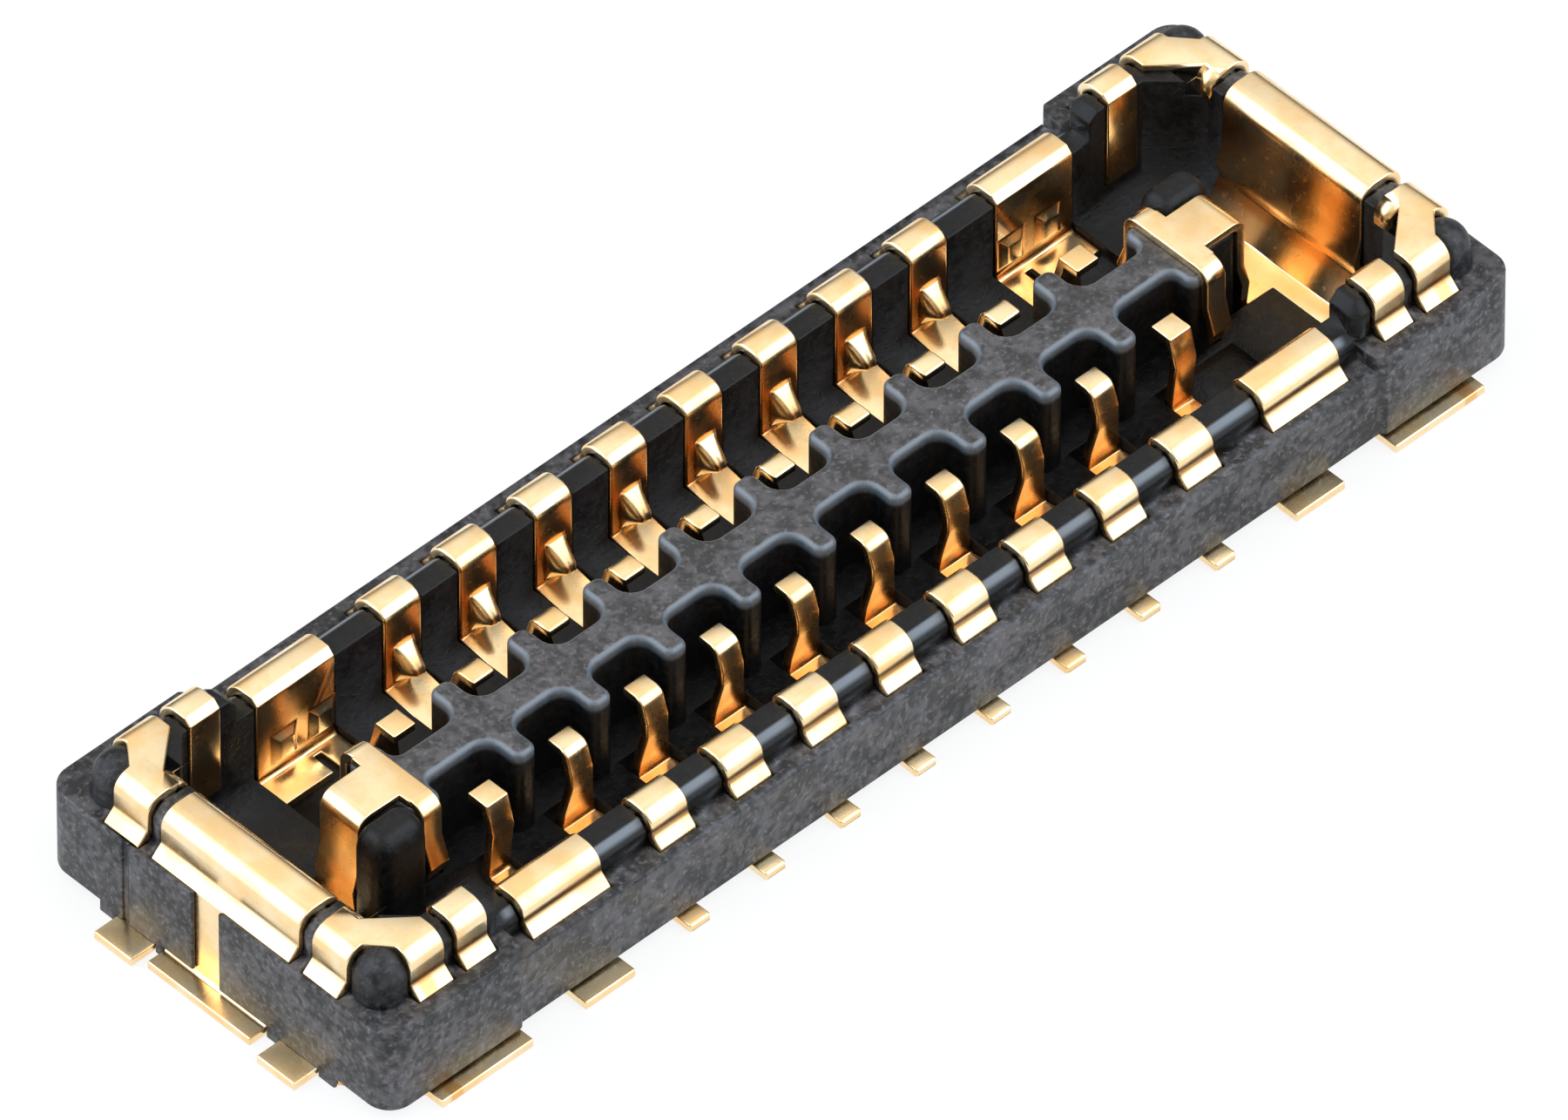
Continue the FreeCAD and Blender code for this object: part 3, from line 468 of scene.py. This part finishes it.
def contact_corners():
    """(reach from the middle, height, bend radius, width), from tail tip to spring tip."""
    full = CONTACT_WIDTH
    top = CAP_TOP - HALF_SHEET
    spring_top = top - SPRING_BELOW_CAP
    return [
        (TAIL_REACH, HALF_SHEET, 0, TAIL_WIDTH),
        (LEG_LINE, HALF_SHEET, TAIL_BEND, TAIL_WIDTH),
        (LEG_LINE, LEG_NARROW_END, 0, TAIL_WIDTH),
        (LEG_LINE, LEG_FULL_START, 0, full),
        (LEG_LINE, FLARE_LOW, FLARE_LOW_BEND, full),
        (WALL_OUTER_LINE, FLARE_HIGH, FLARE_HIGH_BEND, full),
        (WALL_OUTER_LINE, top, CAP_OUTER_BEND, full),
        (WALL_INNER_LINE, top, CAP_INNER_BEND, full),
        (WALL_INNER_LINE, BELLY + BELLY_SLOPE, FOOT_BEND, full),
        (BELLY_LOWEST, BELLY - BELLY_SAG, BELLY_BEND, full),
        (SPRING_FOOT, BELLY - BELLY_SAG / 2, FOOT_BEND, full * 0.9),
        (*SPRING_ROOT, 0, full * 0.8),
        (*BULGE_LOW, SPRING_BEND, ARM_WIDTH),
        (*BULGE_HIGH, SPRING_BEND, ARM_WIDTH),
        (SPRING_NECK, spring_top, FOOT_BEND, ARM_WIDTH),
        (SPRING_TIP, spring_top, 0, ARM_WIDTH),
    ]


print("contact corners", len(contact_corners()))

# %% [markdown]
# A pillow-shaped bump is pressed out of the inner leg, where the plug's contact
# slides. It is a small dome on a rectangle, so its height is a product of two falls:
# an almost straight ramp along the leg, and flat with round shoulders across it. The
# apex is a little below the middle, which gives the long bright ramp above it.

# %% Bump and contact blank
BUMP_WIDTH = 0.104
BUMP_LOW = 0.124
BUMP_HIGH = 0.304
BUMP_RISE = 0.096
BUMP_APEX = -0.10
BUMP_SUNK = 0.002
BUMP_STEPS = 12
UPRIGHT_FALL, SIDE_FALL = 1.15, 3.2


def add_bump(bm, centre, to_world):
    """Adds one pressed bump on the groove side of the inner leg."""
    face = WALL_INNER_LINE - HALF_SHEET
    grid = []
    for i in range(BUMP_STEPS + 1):
        row = []
        for j in range(BUMP_STEPS + 1):
            u = 2 * i / BUMP_STEPS - 1
            v = 2 * j / BUMP_STEPS - 1
            fall = (v - BUMP_APEX) / (1 - BUMP_APEX if v > BUMP_APEX else 1 + BUMP_APEX)
            rise = (1 - abs(fall) ** UPRIGHT_FALL) * (1 - abs(u) ** SIDE_FALL)
            reach = face + BUMP_SUNK - (BUMP_RISE + BUMP_SUNK) * rise
            across = centre + u * BUMP_WIDTH / 2
            up = (BUMP_LOW + BUMP_HIGH) / 2 + v * (BUMP_HIGH - BUMP_LOW) / 2
            row.append(bm.verts.new(to_world(reach, across, up)))
        grid.append(row)
    for i in range(BUMP_STEPS):
        for j in range(BUMP_STEPS):
            corners = (grid[i][j], grid[i + 1][j], grid[i + 1][j + 1], grid[i][j + 1])
            bm.faces.new(corners)
    rim = [row[0] for row in grid] + grid[-1][1:] + [row[-1] for row in grid[-2::-1]]
    rim += grid[0][-2:0:-1]
    bm.faces.new(rim)


def finished_mesh(bm, name):
    """Turns the work in progress into a mesh with outward faces and smooth shading."""
    bmesh.ops.recalc_face_normals(bm, faces=bm.faces)
    mesh = bpy.data.meshes.new(name)
    bm.to_mesh(mesh)
    bm.free()
    mesh.shade_smooth()
    return mesh


def contact_blank(row_side):
    """One signal contact at X = 0, in the far (1) or the near (-1) row."""
    bm = bmesh.new()

    def to_world(along, across, up):
        return Vector((across, row_side * along, up)) * MM

    sweep_strip(bm, contact_corners(), to_world)
    add_bump(bm, 0.0, to_world)
    return finished_mesh(bm, "contact_blank")


blanks = {"far": contact_blank(1), "near": contact_blank(-1)}
print("faces of one contact", len(blanks["far"].polygons))

# %% [markdown]
# Geometry Nodes set the row: a line of points at the pitch, the blank on each point,
# then Realize Instances and Set Material. An Array modifier would do too, but here
# count, pitch and finish are named inputs, so a longer or a finer row needs two
# numbers. The evaluated object is turned into a plain mesh, one for each row.

# %% Row of contacts with Geometry Nodes
def row_tree():
    tree = bpy.data.node_groups.new("contact_row", "GeometryNodeTree")
    face = tree.interface
    face.new_socket("Geometry", in_out="INPUT", socket_type="NodeSocketGeometry")
    face.new_socket("Count", in_out="INPUT", socket_type="NodeSocketInt")
    face.new_socket("Pitch", in_out="INPUT", socket_type="NodeSocketFloat")
    face.new_socket("Finish", in_out="INPUT", socket_type="NodeSocketMaterial")
    face.new_socket("Geometry", in_out="OUTPUT", socket_type="NodeSocketGeometry")
    net = Network(tree)
    given = tree.nodes.new("NodeGroupInput")
    blank_shape, count, pitch, finish = (Field(tree, given.outputs[i]) for i in range(4))
    one_pitch = net.node("ShaderNodeCombineXYZ", {}, {"X": pitch})
    start = net.node("ShaderNodeCombineXYZ", {}, {"X": -0.5 * pitch * (count - 1)})
    values = {"Count": count, "Start Location": start, "Offset": one_pitch}
    line = net.node("GeometryNodeMeshLine", {}, values)
    values = {"Points": line, "Instance": blank_shape}
    placed = net.node("GeometryNodeInstanceOnPoints", {}, values)
    real = net.node("GeometryNodeRealizeInstances", {}, {"Geometry": placed})
    values = {"Geometry": real, "Material": finish}
    dressed = net.node("GeometryNodeSetMaterial", {}, values)
    result = tree.nodes.new("NodeGroupOutput")
    tree.links.new(dressed.socket, result.inputs[0])
    return tree


def set_input(modifier, name, value):
    for item in modifier.node_group.interface.items_tree:
        if item.in_out == "INPUT" and item.name == name:
            modifier[item.identifier] = value


def plain_mesh(piece):
    """Replaces an object's mesh by its evaluated one and drops the modifiers."""
    evaluated = piece.evaluated_get(bpy.context.evaluated_depsgraph_get())
    mesh = bpy.data.meshes.new_from_object(evaluated)
    piece.modifiers.clear()
    piece.data = mesh
    return piece


def new_piece(name, mesh):
    piece = bpy.data.objects.new(name, mesh)
    bpy.context.scene.collection.objects.link(piece)
    return piece


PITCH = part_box("signal_contact_far_2")[0].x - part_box("signal_contact_far_1")[0].x
CONTACTS_PER_ROW = 8
contact_row_tree = row_tree()

for row, blank in blanks.items():
    contacts = new_piece(f"signal_contacts_{row}", blank)
    modifier = contacts.modifiers.new("row", "NODES")
    modifier.node_group = contact_row_tree
    set_input(modifier, "Count", CONTACTS_PER_ROW)
    set_input(modifier, "Pitch", PITCH)
    set_input(modifier, "Finish", contact_gold)
    plain_mesh(contacts)
    nodes = [f"signal_contact_{row}_{i + 1}" for i in range(CONTACTS_PER_ROW)]
    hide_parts(*nodes)
    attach(contacts, "root")
    print(contacts.name, len(contacts.data.polygons), "faces")

# %% [markdown]
# The other stampings and the moulding already have the right shape in the frame, but
# their edges are perfectly sharp, and no real edge is. They could be modelled again,
# but a copy keeps the frame's exact sizes. The copy's loose triangles are merged, and
# each edge to be rounded gets a weight of one, which the Bevel modifier reads.
# Weighted normals then keep the flat faces flat.

# %% Rounded copies of the frame's pieces
EDGE_ANGLE = math.radians(33)
SLIVER = 0.0015 * MM
BEVEL_SEGMENTS = 3


def rounded_copy(node, name, width, weight_of, finish, reshape=None):
    mesh = frame["nodes"][node].data.copy()
    bm = bmesh.new()
    bm.from_mesh(mesh)
    bmesh.ops.remove_doubles(bm, verts=bm.verts, dist=SLIVER)
    if reshape:
        reshape(bm)
    weights = bm.edges.layers.float.new("bevel_weight_edge")
    for edge in bm.edges:
        if len(edge.link_faces) == 2 and edge.calc_face_angle(0) > EDGE_ANGLE:
            edge[weights] = weight_of(edge)
    bm.to_mesh(mesh)
    bm.free()
    mesh.shade_smooth()
    mesh.materials.clear()
    mesh.materials.append(finish)
    piece = new_piece(name, mesh)
    bevel = piece.modifiers.new("edges", "BEVEL")
    bevel.limit_method = "WEIGHT"
    bevel.width = width
    bevel.segments = BEVEL_SEGMENTS
    bevel.use_clamp_overlap = False
    bevel.loop_slide = False
    piece.modifiers.new("normals", "WEIGHTED_NORMAL")
    return plain_mesh(piece)


def keep(piece, node):
    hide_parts(node)
    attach(piece, "root")
    print(piece.name, len(piece.data.polygons), "faces")


print("edges sharper than", round(math.degrees(EDGE_ANGLE)), "degrees are rounded")

# %% [markdown]
# The power contacts and the end fittings are stamped from the same sheet as the
# signal contacts, with the same slightly rounded edges. Each corner plate of a
# fitting ends in a small bent lip, where the cuts meet so closely that a rounding
# would leave spikes, so that lip keeps its cut edges.

# %% Power contacts and end fittings
SHEET_EDGE = 0.006 * MM
LIP_ALONG, LIP_ACROSS, LIP_LOW = (2.25, 2.44), (0.38, 0.56), 0.48
POWER_CONTACTS = (
    "power_contact_far_right",
    "power_contact_near_left",
    "power_contact_near_right",
    "power_contact_far_left",
)
END_FITTINGS = ("end_fitting_right", "end_fitting_left")


def in_corner_lip(point):
    """True inside the bent lip of a corner plate, at any of the four corners."""
    x, y, z = (abs(value) / MM for value in point)
    along = LIP_ALONG[0] < x < LIP_ALONG[1]
    across = LIP_ACROSS[0] < y < LIP_ACROSS[1]
    return along and across and z > LIP_LOW


def contact_weight(edge):
    return 1.0


def fitting_weight(edge):
    return 0.0 if all(in_corner_lip(vert.co) for vert in edge.verts) else 1.0


for node in POWER_CONTACTS:
    piece = rounded_copy(node, node + "_plated", SHEET_EDGE, contact_weight, contact_gold)
    keep(piece, node)
for node in END_FITTINGS:
    piece = rounded_copy(node, node + "_plated", SHEET_EDGE, fitting_weight, fitting_gold)
    keep(piece, node)

# %% [markdown]
# The ribbed island of the moulding follows a rule: a spine, nine ribs at the contact
# pitch and a block at each end, all with rounded corners. Its rim is rounded too.
# A Bevel modifier can't round corners this close together, so a stack of outlines
# makes both: every outline has the same number of points, and each one is a little
# further in and higher than the one below, along a quarter of a circle. Moving an
# outline in makes outer radii smaller and inner radii larger.

# %% Outlines with round corners
CORNER_STEPS = 6


def round_outline(corners):
    """Points of a closed outline from (x, y, radius) corners, all of them rounded."""
    points = []
    count = len(corners)
    for i, (x, y, radius) in enumerate(corners):
        here = Vector((x, y))
        before = Vector(corners[i - 1][:2])
        after = Vector(corners[(i + 1) % count][:2])
        back = (before - here).normalized()
        ahead = (after - here).normalized()
        half_angle = back.angle(ahead) / 2
        centre = here + (back + ahead).normalized() * radius / math.sin(half_angle)
        start = here + back * radius / math.tan(half_angle) - centre
        end = here + ahead * radius / math.tan(half_angle) - centre
        for step in range(CORNER_STEPS + 1):
            share = step / CORNER_STEPS
            spoke = (start * (1 - share) + end * share).normalized() * radius
            points.append(centre + spoke)
    return points


def stack_outlines(bm, levels):
    """Closed shell through (points, height) levels, with a flat top."""
    rings = []
    for points, z in levels:
        rings.append([bm.verts.new((x * MM, y * MM, z * MM)) for x, y in points])
    count = len(rings[0])
    faces = []
    for low, high in zip(rings, rings[1:]):
        for j in range(count):
            k = (j + 1) % count
            faces.append(bm.faces.new((low[j], low[k], high[k], high[j])))
    faces.append(bm.faces.new(rings[-1]))
    faces.append(bm.faces.new(rings[0][::-1]))
    bmesh.ops.recalc_face_normals(bm, faces=faces)


def rounded_levels(outline_at, low, top, inset, drop, steps=6):
    """Levels from an upright wall over a quarter-round rim to the top."""
    levels = [(outline_at(0.0), low)]
    for i in range(steps + 1):
        angle = math.pi / 2 * i / steps
        height = top - drop * (1 - math.sin(angle))
        levels.append((outline_at(inset * (1 - math.cos(angle))), height))
    return levels


print("corner steps", CORNER_STEPS)

# %% [markdown]
# The island's sizes are the frame's own, to a few thousandths of a millimetre. Beside
# each end of the island stands a boss with a bullet-shaped top, rounder and higher
# here than the frame's plain one. Corners of an outline are (x, y, radius) in
# millimetres, and an inset moves all of them in.

# %% Island and bosses
RIB_HALF, RIB_REACH, SPINE_HALF = 0.048, 0.222, 0.070
RIB_END_ROUND, RIB_ROOT_ROUND = 0.036, 0.068
ISLAND_END, ISLAND_TOP, ISLAND_RIM = 2.030, 0.484, 0.026
BLOCK_START, BLOCK_HALF = 1.740, 0.170
BLOCK_ROUND, BLOCK_ROOT_ROUND, BOSS_ROOT_ROUND = 0.036, 0.040, 0.012
BOSS_START, BOSS_END = 1.872, 2.108
BOSS_INNER, BOSS_OUTER, BOSS_TOP = 0.094, 0.256, 0.530
BOSS_ROUND, BOSS_ROUND_LOSS = 0.062, 0.8
BOSS_INSET, BOSS_DROP, BOSS_STEPS = 0.058, 0.110, 10
BELOW_FLOOR = 0.080


def island_outline(inset):
    """Outline of the island, moved in by an inset."""
    ribs = []
    for i in range(CONTACTS_PER_ROW + 1):
        x = (i - CONTACTS_PER_ROW / 2) * PITCH / MM
        half = RIB_HALF - inset
        ribs += [
            (x - half, SPINE_HALF - inset, RIB_ROOT_ROUND + inset),
            (x - half, RIB_REACH - inset, RIB_END_ROUND - inset),
            (x + half, RIB_REACH - inset, RIB_END_ROUND - inset),
            (x + half, SPINE_HALF - inset, RIB_ROOT_ROUND + inset),
        ]
    end_block = [
        (BLOCK_START + inset, SPINE_HALF - inset, BLOCK_ROOT_ROUND + inset),
        (BLOCK_START + inset, BLOCK_HALF - inset, BLOCK_ROUND - inset),
        (BOSS_START - inset, BLOCK_HALF - inset, BLOCK_ROUND - inset),
        (BOSS_START - inset, BOSS_INNER - inset, BOSS_ROOT_ROUND + inset),
        (ISLAND_END - inset, BOSS_INNER - inset, BLOCK_ROUND - inset),
    ]
    other_end = [(-x, y, radius) for x, y, radius in end_block[::-1]]
    half_way = other_end + ribs + end_block
    return round_outline(half_way + [(-x, -y, radius) for x, y, radius in half_way])


def boss_outline(side, inset):
    """Outline of the boss at one end: +1 is the far right one, -1 the near left one."""
    start, end = BOSS_START + inset, BOSS_END - inset
    inner, outer = BOSS_INNER + inset, BOSS_OUTER - inset
    radius = BOSS_ROUND - BOSS_ROUND_LOSS * inset
    corners = [(start, inner), (end, inner), (end, outer), (start, outer)]
    return round_outline([(side * x, side * y, radius) for x, y in corners])


def add_boss(bm, side):
    def outline_at(inset):
        return boss_outline(side, inset)

    rim = (BOSS_INSET, BOSS_DROP, BOSS_STEPS)
    stack_outlines(bm, rounded_levels(outline_at, BELOW_FLOOR, BOSS_TOP, *rim))


print("corners of the island", len(island_outline(0.0)) // (CORNER_STEPS + 1))

# %% [markdown]
# Every corner of the outer wall ends in a smooth ball, which shows between the
# stampings. A sphere would do, but the real one has a short foot on the ledge, so it
# is a stack of circles too: the foot, then the upper part of an ellipsoid.

# %% Balls at the corners
BALL_RADIUS, BALL_MIDDLE, BALL_TOP = 0.097, 0.494, 0.594
BALL_FOOT = ((0.006, 0.0), (0.001, 0.012))
BALL_POINTS, BALL_LEVELS = 32, 10
BALL_LEVEL_ANGLE = 9.6
LEDGE, ABOVE_LEDGE = 0.420, 0.0005


def ball_outline(side_x, side_y, radius):
    points = []
    for i in range(BALL_POINTS):
        angle = side_x * side_y * math.tau * i / BALL_POINTS
        x = BALL_ALONG + radius * math.cos(angle)
        y = BALL_ACROSS + radius * math.sin(angle)
        points.append((side_x * x, side_y * y))
    return points


def ball_levels(side_x, side_y):
    foot = LEDGE + ABOVE_LEDGE
    profile = [(BALL_RADIUS + wider, foot + higher) for wider, higher in BALL_FOOT]
    for i in range(BALL_LEVELS):
        angle = math.radians(BALL_LEVEL_ANGLE * i)
        height = BALL_MIDDLE + (BALL_TOP - BALL_MIDDLE) * math.sin(angle)
        profile.append((BALL_RADIUS * math.cos(angle), height))
    return [(ball_outline(side_x, side_y, radius), z) for radius, z in profile]


print("levels of a ball", len(ball_levels(1, 1)))

# %% [markdown]
# The frame's own island and corner posts are plain, with cut edges. They come off
# the copy of the moulding, and the round ones stand in their places. A face comes
# off when it lies wholly inside the island's or a post's box and isn't the flat
# floor or ledge below it.

# %% Round island, bosses and balls in place of plain ones
GROOVE_FLOOR, POST_CUT = 0.110, 0.564
POST_ALONG, POST_ACROSS, POST_REACH = 2.5, 0.665, 0.068
BESIDE_BOSS, BEYOND_BOSS = 0.005, 0.010
HAIR = 0.0001


def in_island(point):
    x, y, z = (abs(value) / MM for value in point)
    across = y < BOSS_OUTER + BESIDE_BOSS
    return x < BOSS_END + BEYOND_BOSS and across and z > GROOVE_FLOOR - HAIR


def in_corner(point):
    x, y, z = (abs(value) / MM for value in point)
    return math.hypot(x - POST_ALONG, y - POST_ACROSS) < POST_REACH and z > LEDGE - HAIR


def remould(bm):
    """Takes the plain island and corner posts off the copy and adds the round ones."""
    old = []
    for face in bm.faces:
        points = [vert.co for vert in face.verts]
        highest = max(point.z for point in points) / MM
        if all(in_island(point) for point in points) and highest > GROOVE_FLOOR + HAIR:
            old.append(face)
        elif all(in_corner(point) for point in points) and highest > POST_CUT + HAIR:
            old.append(face)
    bmesh.ops.delete(bm, geom=old, context="FACES")
    rim = (ISLAND_RIM, ISLAND_RIM)
    stack_outlines(bm, rounded_levels(island_outline, BELOW_FLOOR, ISLAND_TOP, *rim))
    for side in (1, -1):
        add_boss(bm, side)
        for side_y in (1, -1):
            stack_outlines(bm, ball_levels(side, side_y))
    print("faces taken off", len(old))


print("plain posts at", POST_ALONG, POST_ACROSS)

# %% [markdown]
# On the moulding only the outward edges are rounded. An inward corner stays as it
# is, because a bevel there would leave a dark line at the foot of each wall, and what
# was added above has its rounding already.

# %% Moulding
WALL_ROUND = 0.007 * MM


def moulding_weight(edge):
    points = [vert.co for vert in edge.verts]
    if not edge.is_convex:
        return 0.0
    if all(in_island(point) or in_corner(point) for point in points):
        return 0.0
    return 1.0


body = rounded_copy("housing", "housing_moulded", WALL_ROUND, moulding_weight, plastic, remould)
keep(body, "housing")

# %% [markdown]
# The floor is plain and pale. A camera, and a reflection, sees it almost white, and a
# share of its diffuse surface stays in, so that the part's soft shadow shows.

# %% Floor
FLOOR_HALF = 2.0
SHADOW_SHARE = 0.16
FLOOR_PALE, FLOOR_PALER = (0.93, 0.93, 0.93, 1), (0.96, 0.96, 0.96, 1)


def pale_floor():
    bm = bmesh.new()
    corners = [(-1, -1), (1, -1), (1, 1), (-1, 1)]
    bm.faces.new([bm.verts.new((x * FLOOR_HALF, y * FLOOR_HALF, 0)) for x, y in corners])
    floor = new_piece("floor", finished_mesh(bm, "floor"))
    finish = Finish("floor_paint")
    paint = finish.blend_colours(finish.noise(3.0, 2.0), FLOOR_PALE, FLOOR_PALER)
    finish.set(Base_Color=paint, Roughness=0.7)
    rays = finish.tree.nodes.new("ShaderNodeLightPath")
    camera_ray, glossy_ray, through_ray = (
        Field(finish.tree, rays.outputs[name])
        for name in ("Is Camera Ray", "Is Glossy Ray", "Is Transmission Ray")
    )
    seen = (camera_ray + glossy_ray + through_ray).up_to(1.0)
    glow = finish.tree.nodes.new("ShaderNodeEmission")
    glow.inputs["Strength"].default_value = 1.0
    mix = finish.tree.nodes.new("ShaderNodeMixShader")
    plug(finish.tree, mix.inputs[0], seen * (1 - SHADOW_SHARE))
    finish.tree.links.new(finish.shader.outputs[0], mix.inputs[1])
    finish.tree.links.new(glow.outputs[0], mix.inputs[2])
    output = finish.tree.nodes["Material Output"]
    finish.tree.links.new(mix.outputs[0], output.inputs["Surface"])
    floor.data.materials.append(finish.material)
    return floor


print("floor", pale_floor().name)

# %% [markdown]
# The studio is a sky of light alone: a warm fill that is strongest overhead and
# fades towards the horizon, and four large, cooler softboxes. The two at the sides
# are bright and the two high ones weak, which gives plated metal its pale tops and
# dark creases. A softbox is the part of the sky within an angle of its direction, so
# it comes from a dot product. The camera sees the sky itself as plain white.

# %% Studio light
FILL, HORIZON_FILL = 0.9, 0.04
FILL_HEIGHTS = (0.10, 0.95)
FILL_COLOUR = (1.0, 0.93, 0.84, 1)
BOX_COLOUR = (0.90, 0.99, 1.10, 1)
WHITE = (1, 1, 1, 1)
BOX_EDGE = (0.70, 0.93)
SOFTBOXES = (
    (Vector((0.48, 0.51, 0.72)), 0.32),
    (Vector((0.48, -0.72, 0.50)), 2.1),
    (Vector((-0.72, 0.50, 0.48)), 2.2),
    (Vector((-0.48, -0.51, 0.72)), 0.3),
)


def studio_sky():
    world = bpy.data.worlds.new("studio")
    bpy.context.scene.world = world
    world.use_nodes = True
    net = Network(world.node_tree)
    direction = net.node("ShaderNodeTexCoord", {}, {}, "Generated")
    height = net.node("ShaderNodeSeparateXYZ", {}, {"Vector": direction}, "Z")
    fill = FILL * net.between(height, *FILL_HEIGHTS) + HORIZON_FILL
    boxes = 0.0
    for towards, strength in SOFTBOXES:
        dot = net.tree.nodes.new("ShaderNodeVectorMath")
        dot.operation = "DOT_PRODUCT"
        plug(net.tree, dot.inputs[0], direction)
        dot.inputs[1].default_value = towards.normalized()
        nearness = Field(net.tree, dot.outputs["Value"])
        boxes = strength * net.between(nearness, *BOX_EDGE) + boxes
    seen = net.node("ShaderNodeLightPath", {}, {}, "Is Camera Ray")
    colour = net.blend_colours(boxes.up_to(1.0), FILL_COLOUR, BOX_COLOUR)
    colour = net.blend_colours(seen, colour, WHITE)
    background = net.tree.nodes["Background"]
    plug(net.tree, background.inputs["Color"], colour)
    plug(net.tree, background.inputs["Strength"], (fill + boxes) * (1 - seen) + seen)
    return world


print("world", studio_sky().name)

# %% [markdown]
# The photograph is taken from far away with a long lens, so lines that are parallel
# on the part stay parallel in the picture. The camera here stands far off for so
# small a part, which keeps them almost parallel too. It looks along the direction
# that the photograph's own edges give, and its frame is as wide as the photograph's.

# %% Camera
CAMERA_DISTANCE = 0.16
FRAME_WIDTH = 5.283 * MM
SENSOR = 36.0
LOOK_AT = Vector((-0.0381, -0.0357, 0.3)) * MM
TO_CAMERA = Vector((-0.4822, -0.5054, 0.7156)).normalized()

camera_data = bpy.data.cameras.new("camera")
camera_data.sensor_width = SENSOR
camera_data.sensor_fit = "HORIZONTAL"
camera_data.lens = SENSOR * CAMERA_DISTANCE / FRAME_WIDTH
camera_data.clip_start = 0.05
camera_data.clip_end = 10.0
camera = bpy.data.objects.new("camera", camera_data)
bpy.context.scene.collection.objects.link(camera)
camera.location = LOOK_AT + TO_CAMERA * CAMERA_DISTANCE
camera.rotation_euler = TO_CAMERA.to_track_quat("Z", "Y").to_euler()
bpy.context.scene.camera = camera
bpy.context.scene.view_settings.view_transform = "Standard"
print("lens", round(camera_data.lens))
